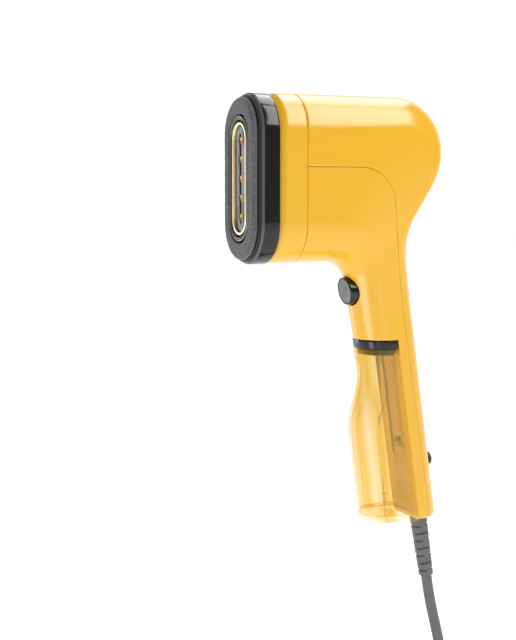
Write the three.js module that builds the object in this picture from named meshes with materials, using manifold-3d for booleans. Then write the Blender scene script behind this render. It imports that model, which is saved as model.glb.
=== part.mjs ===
// Handheld garment steamer: flat steam head, upright grip with a removable water tank and a mains lead.
// Units are millimetres, +Z is up, the steam face looks along -X. Shapes are written in the head's own
// coordinates (x from the bezel's front plane, z from the centre of the steam face). The whole group is
// then moved so that its origin lies inside the grip, where a hand closes round it.
import * as THREE from "three";
import { mergeVertices } from "three/addons/utils/BufferGeometryUtils.js";
import Module from "manifold-3d";

const wasm = await Module();
wasm.setup();

// ---------------------------------------------------------------- driving dimensions
const GAP = 0.3; // clearance between pieces that touch
const GRIP_CENTRE = [94, 0, -92]; // middle of the grip, in head coordinates
const HALF_WALL_SPAN = 60; // reach of cutting slabs to each side

const HEAD_HEIGHT = 103; // steam face, bottom to top
const HEAD_WIDTH = 50; // steam face, side to side
const WALL = 2.2; // moulded shells
const BEZEL_DEPTH = 12;
const COLLAR_BACK = 29.8; // where the yellow collar ends
const LEAN = THREE.MathUtils.degToRad(8.3); // grip leans back by this much
const SLOPE = Math.tan(LEAN);
const GRIP_RADIUS = 16.8; // half the width of the grip
const BODY_BOTTOM = -217.3;
const DOCK_BOTTOM = -100.2; // underside of the grip, over the tank

const SEAM_HEIGHT = 7.2; // seam between the front and rear shells, along the head
const SEAM_TURN_X = 66.5; // where that seam starts to turn down
const SEAM_RADIUS = 24;

const SPINE_FRONT_TOP = [97.4, DOCK_BOTTOM]; // flat wall behind the tank, [x, z] at its top
const TANK_BULGE = 12.6; // how far the tank swells forward
const TANK_BULGE_TOP = -120;
const TANK_BULGE_SPAN = 41;
const TANK_WALL = 1.8;
const TANK_FRONT = 76.4; // foremost point of the tank at its top
const TANK_TOP = -106.5;
const TANK_FLOOR = -213.2;

const BUTTON_RADIUS = 8.75;
const BUTTON_CENTRE = [67.5, -69.7]; // middle of the button's face, [x, z]
const BUTTON_SLANT = THREE.MathUtils.degToRad(10.6);

const HOLE_COUNT = 5;
const HOLE_PITCH = 11.5;
const HOLE_RADIUS = 2.2;

const CORD_RADIUS = 3.5;
const COIL_LEVEL = -387; // the surface on which the spare lead lies
const COIL_CENTRE = [102, 34];
const COIL_MID_RADIUS = 38.5; // middle of the turns
const COIL_BUNDLE_RADIUS = 11; // outer shape of the bundled turns

const spineFrontX = (z) => SPINE_FRONT_TOP[0] + (SPINE_FRONT_TOP[1] - z) * SLOPE;

// ---------------------------------------------------------------- materials
const finish = (color, roughness, metalness = 0) =>
  new THREE.MeshStandardMaterial({ color, roughness, metalness });
const MATERIAL = {
  yellow: finish(0xfcc332, 0.25),
  black: finish(0x18191b, 0.25),
  satinBlack: finish(0x2a2b2e, 0.5),
  textile: finish(0x3a3b3e, 0.95),
  gold: finish(0xd9b36a, 0.3, 0.9),
  brass: finish(0xc8903a, 0.35, 0.9),
  aluminium: finish(0x9a9da1, 0.4, 0.9),
  steel: finish(0x8f9398, 0.35, 0.95),
  copper: finish(0xb06a3a, 0.4, 0.9),
  amber: finish(0xf0cc7a, 0.1),
  silicone: finish(0xd8d4cc, 0.6),
  rubber: finish(0x26272a, 0.7),
  board: finish(0x2f6a4a, 0.5),
  buttonGrey: finish(0x55575b, 0.4),
  white: finish(0xe8e6e0, 0.5),
};

// ---------------------------------------------------------------- helpers: solids and booleans
const AXIS_X = new THREE.Vector3(1, 0, 0);
const AXIS_Y = new THREE.Vector3(0, 1, 0);
const AXIS_Z = new THREE.Vector3(0, 0, 1);

function toSolid(geometry) {
  const bare = geometry.clone();
  bare.deleteAttribute("normal");
  bare.deleteAttribute("uv");
  const merged = mergeVertices(bare, 1e-4);
  return new wasm.Manifold(
    new wasm.Mesh({
      numProp: 3,
      vertProperties: new Float32Array(merged.attributes.position.array),
      triVerts: new Uint32Array(merged.index.array),
    }),
  );
}

function toGeometry(solid) {
  const mesh = solid.getMesh();
  const geometry = new THREE.BufferGeometry();
  geometry.setAttribute("position", new THREE.BufferAttribute(new Float32Array(mesh.vertProperties), 3));
  geometry.setIndex(new THREE.BufferAttribute(new Uint32Array(mesh.triVerts), 1));
  geometry.computeVertexNormals();
  return geometry;
}

const cut = (body, ...tools) => {
  const takeAway = (left, tool) => left.subtract(toSolid(tool));
  return toGeometry(tools.reduce(takeAway, toSolid(body)));
};
const join = (...bodies) =>
  toGeometry(bodies.slice(1).reduce((sum, body) => sum.add(toSolid(body)), toSolid(bodies[0])));
const common = (first, second) => toGeometry(toSolid(first).intersect(toSolid(second)));

// A box given by its lowest and highest corners.
function block(low, high) {
  const size = high.map((value, axis) => value - low[axis]);
  const geometry = new THREE.BoxGeometry(...size);
  return geometry.translate(...low.map((value, axis) => value + size[axis] / 2));
}

// A round rod between two points, with an optional smaller far end.
function rod(from, to, radius, sides = 16, endRadius = radius) {
  const start = new THREE.Vector3(...from);
  const along = new THREE.Vector3(...to).sub(start);
  const geometry = new THREE.CylinderGeometry(endRadius, radius, along.length(), sides);
  geometry.translate(0, along.length() / 2, 0);
  geometry.applyQuaternion(new THREE.Quaternion().setFromUnitVectors(AXIS_Y, along.clone().normalize()));
  return geometry.translate(...from);
}

// A pipe: rod with a bore right through it.
const pipe = (from, to, radius, bore, sides = 16) => {
  const direction = new THREE.Vector3(...to).sub(new THREE.Vector3(...from)).normalize();
  const before = new THREE.Vector3(...from).sub(direction);
  const after = new THREE.Vector3(...to).add(direction);
  return cut(rod(from, to, radius, sides), rod(before.toArray(), after.toArray(), bore, sides));
};

// An outline of [x, z] points (or a Shape) carried across the body, from y = low to y = high.
function slab(outline, low = -HALF_WALL_SPAN, high = HALF_WALL_SPAN) {
  const drawn = outline instanceof THREE.Shape;
  const shape = drawn ? outline : new THREE.Shape(outline.map(([x, z]) => new THREE.Vector2(x, z)));
  const options = { depth: high - low, bevelEnabled: false, curveSegments: 6 };
  const geometry = new THREE.ExtrudeGeometry(shape, options);
  return geometry.rotateX(Math.PI / 2).translate(0, high, 0);
}

// A stadium (straight sides, round ends) of the steam face, carried along X.
function stadium(width, height, fromX, toX, segments = 7) {
  const radius = width / 2;
  const straight = height / 2 - radius;
  const shape = new THREE.Shape();
  shape.absarc(0, straight, radius, 0, Math.PI, false);
  shape.absarc(0, -straight, radius, Math.PI, 2 * Math.PI, false);
  const geometry = new THREE.ExtrudeGeometry(shape, {
    depth: toX - fromX,
    bevelEnabled: false,
    curveSegments: segments,
  });
  geometry.applyMatrix4(new THREE.Matrix4().makeBasis(AXIS_Y, AXIS_Z, AXIS_X));
  return geometry.translate(fromX, 0, 0);
}

const stadiumRing = (outer, inner, fromX, toX) =>
  cut(stadium(...outer, fromX, toX), stadium(...inner, fromX - 1, toX + 1));

// A shape drawn upright about the origin, leaned back like the grip and put at [x, z].
const leaned = (geometry, [x, z]) => geometry.rotateY(-LEAN).translate(x, 0, z);

// A round tube along points; bore 0 makes it solid.
function hose(points, radius, bore = 0, steps = 16, sides = 8) {
  const corners = points.map((point) => new THREE.Vector3(...point));
  const path = new THREE.CatmullRomCurve3(corners, false, "centripetal");
  const shape = new THREE.Shape().absarc(0, 0, radius, 0, 2 * Math.PI, false);
  if (bore > 0) {
    shape.holes.push(new THREE.Path().absarc(0, 0, bore, 0, 2 * Math.PI, true));
  }
  return new THREE.ExtrudeGeometry(shape, { steps, extrudePath: path, curveSegments: sides / 2 });
}

// A compression spring from the origin along +X.
function spring(length, radius, wire, turns) {
  class Helix extends THREE.Curve {
    getPoint(t, target = new THREE.Vector3()) {
      const angle = 2 * Math.PI * turns * t;
      const along = wire + (length - 2 * wire) * t;
      return target.set(along, radius * Math.cos(angle), radius * Math.sin(angle));
    }
  }
  const shape = new THREE.Shape().absarc(0, 0, wire, 0, 2 * Math.PI, false);
  return new THREE.ExtrudeGeometry(shape, { steps: turns * 9, extrudePath: new Helix(), curveSegments: 2 });
}

// A closed skin over rings of equal point count, capped at both ends.
function skin(rings) {
  const count = rings[0].length;
  const position = rings.flat(2);
  const index = [];
  for (let ring = 0; ring < rings.length - 1; ring += 1) {
    for (let k = 0; k < count; k += 1) {
      const next = (k + 1) % count;
      const a = ring * count + k;
      const b = ring * count + next;
      index.push(a, b, a + count, b, b + count, a + count);
    }
  }
  for (const [ring, order] of [[0, -1], [rings.length - 1, 1]]) {
    const centre = position.length / 3;
    for (let axis = 0; axis < 3; axis += 1) {
      position.push(rings[ring].reduce((sum, point) => sum + point[axis], 0) / count);
    }
    for (let k = 0; k < count; k += 1) {
      const edge = [ring * count + k, ring * count + ((k + 1) % count)];
      index.push(centre, ...(order > 0 ? edge : edge.reverse()));
    }
  }
  const geometry = new THREE.BufferGeometry();
  geometry.setAttribute("position", new THREE.BufferAttribute(new Float32Array(position), 3));
  geometry.setIndex(index);
  return toSolid(geometry).volume() < 0 ? flipped(geometry) : geometry;
}

function flipped(geometry) {
  const index = Array.from(geometry.index.array);
  for (let k = 0; k < index.length; k += 3) {
    [index[k + 1], index[k + 2]] = [index[k + 2], index[k + 1]];
  }
  geometry.setIndex(index);
  return geometry;
}

// ---------------------------------------------------------------- the body's side profile
// A path of straight legs ["line", length] and bends ["arc", radius, turn in degrees].
function walk(start, heading, legs) {
  const path = new THREE.CurvePath();
  let point = new THREE.Vector2(...start);
  let angle = THREE.MathUtils.degToRad(heading);
  for (const [kind, size, turn] of legs) {
    if (kind === "line") {
      const end = point.clone().add(new THREE.Vector2(Math.cos(angle), Math.sin(angle)).multiplyScalar(size));
      path.add(new THREE.LineCurve(point, end));
      point = end;
    } else {
      const side = Math.sign(turn);
      const across = new THREE.Vector2(-Math.sin(angle), Math.cos(angle));
      const centre = across.multiplyScalar(side * size).add(point);
      const from = angle - (side * Math.PI) / 2;
      const to = from + THREE.MathUtils.degToRad(turn);
      path.add(new THREE.EllipseCurve(centre.x, centre.y, size, size, from, to, turn < 0));
      angle += THREE.MathUtils.degToRad(turn);
      point = new THREE.Vector2(centre.x + size * Math.cos(to), centre.y + size * Math.sin(to));
    }
  }
  return path;
}

const LOWER_GRIP = 125; // from the tank's top past the bottom of the body, along the lean
const INNER_CURVE = walk([BEZEL_DEPTH, -51], 0.6, [
  ["line", 40.7],
  ["arc", 17, -80],
  ["line", 37],
  ["line", 1],
  ["arc", 60, -2.3],
  ["line", LOWER_GRIP - 2.5],
]);
const OUTER_CURVE = walk([BEZEL_DEPTH, 51.8], 0, [
  ["line", 88.3],
  ["arc", 31, -121],
  ["line", 20.4],
  ["arc", 58, 39.3],
  ["line", 46 + LOWER_GRIP],
]);
// Matching distances along both curves: face, start of the turn, neck, tank top, bottom.
const INNER_MARKS = [0, 40.7, 64.4, 102.4, 102.4 + LOWER_GRIP];
const OUTER_MARKS = [0, 78, 204.3, 260.2, 260.2 + LOWER_GRIP];

const smooth = (t) => THREE.MathUtils.smoothstep(t, 0, 1);

function between(marks, station) {
  const lower = Math.min(Math.floor(station), marks.length - 2);
  return THREE.MathUtils.lerp(marks[lower], marks[lower + 1], station - lower);
}

const pointAlong = (path, distance) => path.getPoint(Math.min(distance / path.getLength(), 1));

// One cross-section: a stadium between the two curves, its ends as wide as the body is there.
function bodyRing(station, inset, forward = 0) {
  const inner = pointAlong(INNER_CURVE, between(INNER_MARKS, station));
  const outer = pointAlong(OUTER_CURVE, between(OUTER_MARKS, station));
  const innerHalf = HEAD_WIDTH / 2 + (GRIP_RADIUS - HEAD_WIDTH / 2) * smooth((station - 0.9) / 1.2) - inset;
  const outerHalf = HEAD_WIDTH / 2 + (GRIP_RADIUS - HEAD_WIDTH / 2) * smooth((station - 1.3) / 1.3) - inset;
  const middle = inner.clone().add(outer).multiplyScalar(0.5);
  const half = inner.distanceTo(outer) / 2 - inset;
  const along = outer.clone().sub(inner).normalize();
  const width = (innerHalf + outerHalf) / 2;
  const flare = (outerHalf - innerHalf) / (outerHalf + innerHalf);
  const straight = Math.max(half - width, 0);
  const endReach = Math.min(width, half);
  const ring = [];
  const arcSteps = 10;
  for (const end of [1, -1]) {
    for (let k = 0; k <= arcSteps; k += 1) {
      const angle = (Math.PI * k) / arcSteps;
      const reach = end * (straight + endReach * Math.sin(angle));
      const across = end * width * Math.cos(angle) * (1 + (flare * reach) / half);
      ring.push([middle.x + along.x * reach - forward, across, middle.y + along.y * reach]);
    }
  }
  return ring;
}

function bodyLoft(inset, openFront) {
  const stations = [];
  for (const [from, steps] of [[0, 4], [1, 12], [2, 5], [3, 2]]) {
    for (let k = 0; k < steps; k += 1) {
      stations.push(from + k / steps);
    }
  }
  stations.push(4);
  const rings = stations.map((station) => bodyRing(station, inset));
  return skin(openFront ? [bodyRing(0, inset, 5), ...rings] : rings);
}


// The space under the grip that the tank fills, grown by a margin.
function tankBay(margin) {
  const top = DOCK_BOTTOM + margin;
  const low = BODY_BOTTOM - 20;
  return slab([[0, top], [spineFrontX(top) + margin, top], [spineFrontX(low) + margin, low], [0, low]]);
}

// Everything in front of and below the seam between the two shells.
function frontSide(offset) {
  const shape = new THREE.Shape();
  const turnZ = SEAM_HEIGHT - SEAM_RADIUS;
  const lean = THREE.MathUtils.degToRad(7);
  shape.moveTo(-20, SEAM_HEIGHT + offset);
  shape.lineTo(SEAM_TURN_X, SEAM_HEIGHT + offset);
  shape.absarc(SEAM_TURN_X, turnZ, SEAM_RADIUS + offset, Math.PI / 2, lean, true);
  shape.lineTo(104.3 + offset, -103);
  shape.lineTo(124.5 + offset, BODY_BOTTOM - 10);
  shape.lineTo(-20, BODY_BOTTOM - 10);
  return slab(shape);
}

// ---------------------------------------------------------------- casing
const BUTTON_HOLE = rod([50, 0, BUTTON_CENTRE[1]], [82, 0, BUTTON_CENTRE[1]], BUTTON_RADIUS + 0.6, 32);
const DOCK = [89, DOCK_BOTTOM]; // where the tank's neck enters the grip, [x, z]
const RELIEF_TOP = [122.9, BODY_BOTTOM]; // where the lead leaves the body, [x, z]
const RELIEF_LEAN = THREE.MathUtils.degToRad(9.5);
// A point on the strain relief's axis, so far below the body.
const reliefPoint = (drop) => [
  RELIEF_TOP[0] + Math.sin(RELIEF_LEAN) * drop,
  0,
  RELIEF_TOP[1] - Math.cos(RELIEF_LEAN) * drop,
];

const LATCH_PIVOT_Z = -175;
const LATCH_ORIGIN = [spineFrontX(LATCH_PIVOT_Z), LATCH_PIVOT_Z]; // on the wall behind the tank
const RELEASE_DROP = 8.5; // release button below the latch's pivot
const RELEASE_END = 21.4; // how far behind the tank's wall its cap ends

function casing() {
  const below = (z) => block([0, -60, z - 40], [200, 60, z]);
  const outer = cut(bodyLoft(0, false), below(BODY_BOTTOM));
  const inner = cut(bodyLoft(WALL, true), tankBay(WALL), below(BODY_BOTTOM + WALL));
  const hollow = cut(outer, inner, tankBay(0));
  const dockHole = leaned(rod([0, 0, -8], [0, 0, 6], 8.2, 24), DOCK);
  const reliefHole = rod([RELIEF_TOP[0], 0, -230], [RELIEF_TOP[0], 0, -210], 5, 24);
  const releaseHole = leaned(rod([10, 0, -RELEASE_DROP], [22, 0, -RELEASE_DROP], 4.9, 20), LATCH_ORIGIN);
  const latchHole = leaned(block([-4, -4.3, 4], [4, 3.3, 10.5]), LATCH_ORIGIN);
  const collarCut = block([-30, -60, -100], [COLLAR_BACK - GAP / 2, 60, 100]);
  const restCut = block([-30, -60, -100], [COLLAR_BACK + GAP / 2, 60, 100]);
  const rest = cut(hollow, restCut);
  return {
    front_collar: common(hollow, collarCut),
    front_shell: cut(common(rest, frontSide(-GAP / 2)), BUTTON_HOLE, dockHole, reliefHole, latchHole),
    rear_shell: cut(rest, frontSide(GAP / 2), reliefHole, releaseHole),
  };
}

// ---------------------------------------------------------------- steam face
function steamFace() {
  const plateFront = -3.2;
  const plate = stadium(16, 63.6, plateFront, 3);
  const groove = stadium(2.2, 54, plateFront - 1, plateFront + 1, 6);
  const holes = [];
  const nozzles = {};
  for (let k = 0; k < HOLE_COUNT; k += 1) {
    const z = (k - (HOLE_COUNT - 1) / 2) * HOLE_PITCH;
    holes.push(rod([-5, 0, z], [8, 0, z], HOLE_RADIUS, 16));
    const mouth = [plateFront + 0.5, 0, z];
    nozzles[`steam_nozzle_${HOLE_COUNT - k}`] = pipe(mouth, [5.5, 0, z], HOLE_RADIUS - GAP, 1.1, 12);
  }
  const bezel = cut(
    stadium(HEAD_WIDTH, HEAD_HEIGHT, 0, BEZEL_DEPTH - GAP),
    stadium(31, 79, -1, 3.6),
    stadium(44, 97, 6, 20),
    stadium(36, 84, 3, 20),
  );
  const padCarrier = stadiumRing([47.4, 100.4], [31, 79], -1.6, -GAP);
  const pad = stadiumRing([44.8, 97.8], [29.4, 77.4], -5, -1.6 - GAP);
  return {
    bezel: { geometry: bezel, material: MATERIAL.black },
    pad_carrier: { geometry: padCarrier, material: MATERIAL.satinBlack },
    fabric_pad: { geometry: pad, material: MATERIAL.textile },
    plate_frame: { geometry: stadiumRing([27.4, 75], [23, 70.6], -4.7, 3), material: MATERIAL.aluminium },
    plate_seal: { geometry: stadiumRing([22.4, 70], [20.6, 68.2], -3, 3), material: MATERIAL.rubber },
    plate_ring: { geometry: stadiumRing([20, 67.6], [16.8, 64.4], -4.4, 3), material: MATERIAL.gold },
    soleplate: { geometry: cut(plate, groove, ...holes), material: MATERIAL.aluminium },
    ...Object.fromEntries(
      Object.entries(nozzles).map(([name, geometry]) => [name, { geometry, material: MATERIAL.brass }]),
    ),
  };
}

// ---------------------------------------------------------------- boiler, in the head
function boiler() {
  const front = 3.3;
  const back = 24;
  const holes = [];
  for (let k = 0; k < HOLE_COUNT; k += 1) {
    const z = (k - (HOLE_COUNT - 1) / 2) * HOLE_PITCH;
    holes.push(rod([front - 1, 0, z], [front + 4, 0, z], HOLE_RADIUS, 12));
  }
  const inlet = rod([back - 5, 0, 26], [back + 1, 0, 26], 2.4, 12);
  const chamber = cut(stadium(32, 80, front, back), stadium(24, 72, front + 3, back - 3.5), inlet, ...holes);
  const elementX = back + 4.6;
  const element = hose(
    [
      [elementX + 13, 8, -27], [elementX + 6, 8, -27], [elementX, 8, -22],
      [elementX, 8, 0], [elementX, 8, 10],
      [elementX, 0, 18], [elementX, -8, 10], [elementX, -8, 0], [elementX, -8, -22], [elementX + 6, -8, -27],
      [elementX + 13, -8, -27],
    ],
    3.2,
    0,
    48,
    8,
  );
  const shieldX = 44;
  const shield = cut(
    stadium(42, 90, shieldX, shieldX + 1.5),
    rod([shieldX - 2, 0, 26], [shieldX + 4, 0, 26], 4.5, 12),
    rod([shieldX - 2, 0, -27], [shieldX + 4, 0, -27], 13, 16),
  );
  const standoffs = {};
  [[12, 31], [-12, 31], [12, -34], [-12, -34]].forEach(([y, z], k) => {
    standoffs[`chamber_standoff_${k + 1}`] = {
      geometry: join(
        rod([back + GAP, y, z], [shieldX - GAP, y, z], 2, 10),
        rod([back + GAP, y, z], [back + 3, y, z], 3, 10),
      ),
      material: MATERIAL.steel,
    };
  });
  return {
    steam_chamber: { geometry: chamber, material: MATERIAL.aluminium },
    heating_element: { geometry: element, material: MATERIAL.steel },
    thermostat: { geometry: thermostat(back + GAP), material: MATERIAL.white },
    thermal_fuse: {
      geometry: rod([back + 2.4, -2.4, -16], [back + 2.4, -2.4, -4], 1.9, 10),
      material: MATERIAL.brass,
    },
    heat_shield: { geometry: shield, material: MATERIAL.steel },
    ...standoffs,
  };
}

function thermostat(fromX) {
  const can = rod([fromX, 0, 4], [fromX + 5, 0, 4], 4, 20);
  const tabs = [-2, 2].map((y) => block([fromX + 4.5, y - 0.4, 2], [fromX + 11, y + 0.4, 6]));
  return join(can, ...tabs);
}

// ---------------------------------------------------------------- pump, in the back of the head
const PUMP_Z = 24;

function pump() {
  const profile = [[2.2, 0], [5, 0], [5, 8], [7.2, 8], [7.2, 46], [5, 46], [5, 54], [2.2, 54],
    [2.2, 48], [5.2, 44],
    [5.2, 10], [2.2, 6]];
  const points = [...profile, profile[0]].map(([radius, along]) => new THREE.Vector2(radius, along));
  const body = new THREE.LatheGeometry(points, 20).rotateZ(-Math.PI / 2).translate(60, 0, PUMP_Z);
  const coil = cut(
    block([74, -13, PUMP_Z - 13], [100, 13, PUMP_Z + 13]),
    rod([70, 0, PUMP_Z], [104, 0, PUMP_Z], 7.6, 20),
  );
  const frame = cut(
    block([72, -14.5, PUMP_Z - 16], [102, 14.5, PUMP_Z + 16]),
    block([73.6, -20, PUMP_Z - 14], [100.4, 20, PUMP_Z + 14]),
    rod([60, 0, PUMP_Z], [110, 0, PUMP_Z], 7.6, 20),
  );
  return {
    pump_body: { geometry: body, material: MATERIAL.white },
    pump_coil: { geometry: coil, material: MATERIAL.copper },
    pump_frame: { geometry: frame, material: MATERIAL.steel },
    pump_piston: {
      geometry: pipe([76, 0, PUMP_Z], [98, 0, PUMP_Z], 4.8, 1.2, 16),
      material: MATERIAL.steel,
    },
  };
}

// ---------------------------------------------------------------- water path and wiring
function plumbing() {
  const socket = join(
    pipe([0, 0, 4.2], [0, 0, 10.5], 9.6, 7.6, 24),
    pipe([0, 0, 10.2], [0, 0, 12], 9.6, 1.6, 24),
    pipe([0, 0, 11.8], [0, 0, 14.5], 2.8, 1.6, 16),
  );
  const inlet = hose(
    [[86.85, 0, -85.4], [86.5, -0.2, -83.4], [87.5, -3.5, -80.5], [90.5, -8, -78.5], [94, -10.6, -73],
      [97.5, -10.6, -60], [99.5, -10.3, -48], [103, -9, -30], [110, -5, -10], [117, -2, 4], [120.5, 0, 14],
      [119.8, 0, 20.5], [117, 0, PUMP_Z], [114.4, 0, PUMP_Z]],
    2.8, 1.5, 36,
  );
  const outlet = hose(
    [[59.6, 0, PUMP_Z], [54, 0, PUMP_Z], [48, 0, 26], [40, 0, 26], [30, 0, 26], [24.4, 0, 26]],
    2.8, 1.5, 12,
  );
  return {
    dock_socket: { geometry: leaned(socket, DOCK), material: MATERIAL.satinBlack },
    inlet_hose: { geometry: inlet, material: MATERIAL.silicone },
    outlet_hose: { geometry: outlet, material: MATERIAL.silicone },
  };
}

function wiring() {
  const board = join(
    block([52, 16, -30], [88, 17.6, -6]),
    block([56, 12.5, -26], [66, 16.2, -14]),
    block([72, 11, -22], [80, 16.2, -12]),
  );
  const innerLead = hose(
    [reliefPoint(-5.8), reliefPoint(-8), [120.6, 2.5, -205], [117.3, 7.5, -194],
      [112.4, 7.5, -160], [106.5, 7.5, -120],
      [104, 7.5, -95], [103, 5, -60], [101, 2, -46], [100, 2, -36.4]],
    3, 0, 34,
  );
  const wires = [
    [[98, 0, -27.6], [96, 0, -15], [88, 2, -4], [70, 5, -3], [56, 8, -3], [48, 8, -20], [42.6, 8, -27]],
    [[95.3, -2, -32], [92, -4, -38], [92, -4, -46], [92.5, -3, -55.3]],
    [[95.6, 5, -33], [80, 8, -34], [60, 4, -33], [48, -7, -29], [42.6, -8, -27]],
  ];
  return {
    control_board: { geometry: board, material: MATERIAL.board },
    terminal_block: { geometry: block([96, -4, -36], [104, 8, -28]), material: MATERIAL.white },
    inner_lead: { geometry: innerLead, material: MATERIAL.rubber },
    ...Object.fromEntries(
      wires.map((route, k) => [
        `wire_${k + 1}`,
        { geometry: hose(route, 0.9, 0, 18, 6), material: MATERIAL.white },
      ]),
    ),
  };
}

// ---------------------------------------------------------------- steam button
// The button slides straight into the grip; its face and back slant as the grip's front does.
const BUTTON_TRAVEL = 2.5;
const BUTTON_FLANGE = [10.6, 12]; // behind the face
const SWITCH_PLATE_X = 87.7;

function steamButton() {
  const slant = Math.tan(BUTTON_SLANT);
  const shear = new THREE.Matrix4().set(1, 0, -slant, 0, 0, 1, 0, 0, 0, 0, 1, 0, 0, 0, 0, 1);
  const cap = rod([0, 0, 0], [BUTTON_FLANGE[1], 0, 0], BUTTON_RADIUS, 32).applyMatrix4(shear);
  const rim = rod([BUTTON_FLANGE[0], 0, 0], [BUTTON_FLANGE[1], 0, 0], BUTTON_RADIUS + 1.4, 32);
  const flange = rim.applyMatrix4(shear);
  const stemEnd = SWITCH_PLATE_X + 1.5 - BUTTON_TRAVEL - BUTTON_CENTRE[0];
  const stem = rod([BUTTON_FLANGE[1] - 1, 0, 0], [stemEnd, 0, 0], 2.4, 12);
  const springStart = BUTTON_CENTRE[0] + BUTTON_FLANGE[1] + 1.2;
  const [, pressZ] = BUTTON_CENTRE;
  const plate = cut(
    block([SWITCH_PLATE_X, -7, pressZ - 4.5], [SWITCH_PLATE_X + 1.5, 7, pressZ + 14]),
    rod([SWITCH_PLATE_X - 2, 0, pressZ], [SWITCH_PLATE_X + 4, 0, pressZ], 2.9, 16),
  );
  return {
    steam_button: {
      geometry: join(cap, flange, stem).translate(BUTTON_CENTRE[0], 0, pressZ),
      material: MATERIAL.buttonGrey,
    },
    button_spring: {
      geometry: spring(SWITCH_PLATE_X - GAP - springStart, 4, 0.4, 4).translate(springStart, 0, pressZ),
      material: MATERIAL.steel,
    },
    switch_plate: { geometry: plate, material: MATERIAL.white },
    microswitch: {
      geometry: block([SWITCH_PLATE_X + 1.8, -5, pressZ - 4], [SWITCH_PLATE_X + 8, 1.4, pressZ + 14]),
      material: MATERIAL.satinBlack,
    },
  };
}

// ---------------------------------------------------------------- tank release, low on the back
// Drawn upright: x is the depth behind the wall that backs the tank, z is measured from the pivot.
function tankRelease() {
  const lever = cut(
    join(block([5, -4, -12], [7.4, 3, 9]), block([-1.6, -3.6, 4.5], [5.4, 2.6, 7.5])),
    rod([6.2, -10, 0], [6.2, 10, 0], 0.9, 24),
  );
  const button = join(
    rod([11.6, 0, -RELEASE_DROP], [RELEASE_END, 0, -RELEASE_DROP], 4.6, 24),
    rod([11.6, 0, -RELEASE_DROP], [12.8, 0, -RELEASE_DROP], 5.4, 24),
    rod([7.8, 0, -RELEASE_DROP], [12, 0, -RELEASE_DROP], 1.4, 12),
  );
  const place = (geometry) => leaned(geometry, LATCH_ORIGIN);
  return {
    release_button: { geometry: place(button), material: MATERIAL.black },
    release_latch: { geometry: place(lever), material: MATERIAL.white },
    latch_pin: { geometry: place(rod([6.2, -12.8, 0], [6.2, 3.4, 0], 0.6, 24)), material: MATERIAL.steel },
    latch_spring: {
      geometry: place(spring(6.3, 2.2, 0.35, 4).translate(7.8, -0.5, 6)),
      material: MATERIAL.steel,
    },
  };
}

// ---------------------------------------------------------------- water tank
const tankSwell = (z) => smooth((TANK_BULGE_TOP - z) / TANK_BULGE_SPAN);

// One level of the tank: a round nose, a crease on each flank and a flat back against the body.
function tankRing(z, inset) {
  const back = spineFrontX(z) - GAP;
  const front = TANK_FRONT + (DOCK_BOTTOM - z) * SLOPE - TANK_BULGE * tankSwell(z);
  const noseEnd = front + 10 + 2 * tankSwell(z);
  const noseHalf = 15 - inset;
  const half = 16.6 - inset;
  const creaseX = back - 6.5;
  const noseSteps = 10;
  const ring = [];
  for (let k = 0; k <= noseSteps; k += 1) {
    const angle = (Math.PI * k) / noseSteps;
    ring.push([noseEnd - (noseEnd - front - inset) * Math.sin(angle), -noseHalf * Math.cos(angle), z]);
  }
  ring.push([creaseX, half, z], [back - inset, half - 0.2, z]);
  ring.push([back - inset, -half + 0.2, z], [creaseX, -half, z]);
  return ring;
}

function tankSolid(top, bottom, inset = 0) {
  const levels = [bottom, top];
  for (let k = 0; k <= 6; k += 1) {
    const z = TANK_BULGE_TOP - (TANK_BULGE_SPAN * k) / 6;
    if (z < top - 1 && z > bottom + 1) {
      levels.push(z);
    }
  }
  levels.sort((low, high) => low - high);
  return skin(levels.map((z) => tankRing(z, inset)));
}

// A leaning block against the back of the tank, between two depths in front of the body's wall.
function backBlock(near, far, low, high, half) {
  const corner = (depth, z) => [spineFrontX(z) - depth, z];
  return slab([corner(far, low), corner(near, low), corner(near, high), corner(far, high)], -half, half);
}

function waterTank() {
  const channel = backBlock(-3, 2.2, -177, -90, 5);
  const channelWall = backBlock(GAP, 4, -178.8, TANK_TOP, 6.8);
  const tankHollow = tankSolid(TANK_TOP + 1, TANK_FLOOR - 1, TANK_WALL);
  const shellOfTank = cut(tankSolid(TANK_TOP, TANK_FLOOR), tankHollow);
  const tub = cut(join(shellOfTank, channelWall), channel);
  const lid = join(
    tankSolid(DOCK_BOTTOM - GAP, TANK_TOP + GAP),
    cut(
      tankSolid(TANK_TOP + 1, TANK_TOP - 3.5, TANK_WALL + 2 * GAP),
      backBlock(0, 4.5, -120, TANK_TOP + GAP, 7.2),
    ),
    leaned(rod([0, 0, -2], [0, 0, 8.4], 6.2, 24), DOCK),
  );
  const bore = leaned(rod([0, 0, -20], [0, 0, 20], 2.5, 16), DOCK);
  const base = join(
    tankSolid(TANK_FLOOR - GAP, BODY_BOTTOM),
    tankSolid(TANK_FLOOR + 2.4, TANK_FLOOR - 1, TANK_WALL + 2 * GAP),
  );
  const tube = hose(
    [[88.6, 0, -97], [89.6, 0, -104], [90.6, 0, -112], [94, 0, -150], [97.4, 0, -185], [98, 0, -202]],
    2.2, 1.3, 18,
  );
  const filter = cut(
    rod([98, 0, -202.3], [98, 0, -209.5], 4, 16),
    rod([98, 0, -201], [98, 0, -207], 1.4, 10),
  );
  return {
    water_tank: { geometry: tub, material: MATERIAL.amber },
    tank_collar: { geometry: cut(lid, bore, channel), material: MATERIAL.black },
    tank_base: { geometry: base, material: MATERIAL.amber },
    suction_tube: { geometry: tube, material: MATERIAL.silicone },
    tank_filter: { geometry: filter, material: MATERIAL.steel },
    tank_seal: {
      geometry: leaned(pipe([0, 0, 5], [0, 0, 7.2], 7.3, 6.5, 24), DOCK),
      material: MATERIAL.rubber,
    },
  };
}

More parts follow.
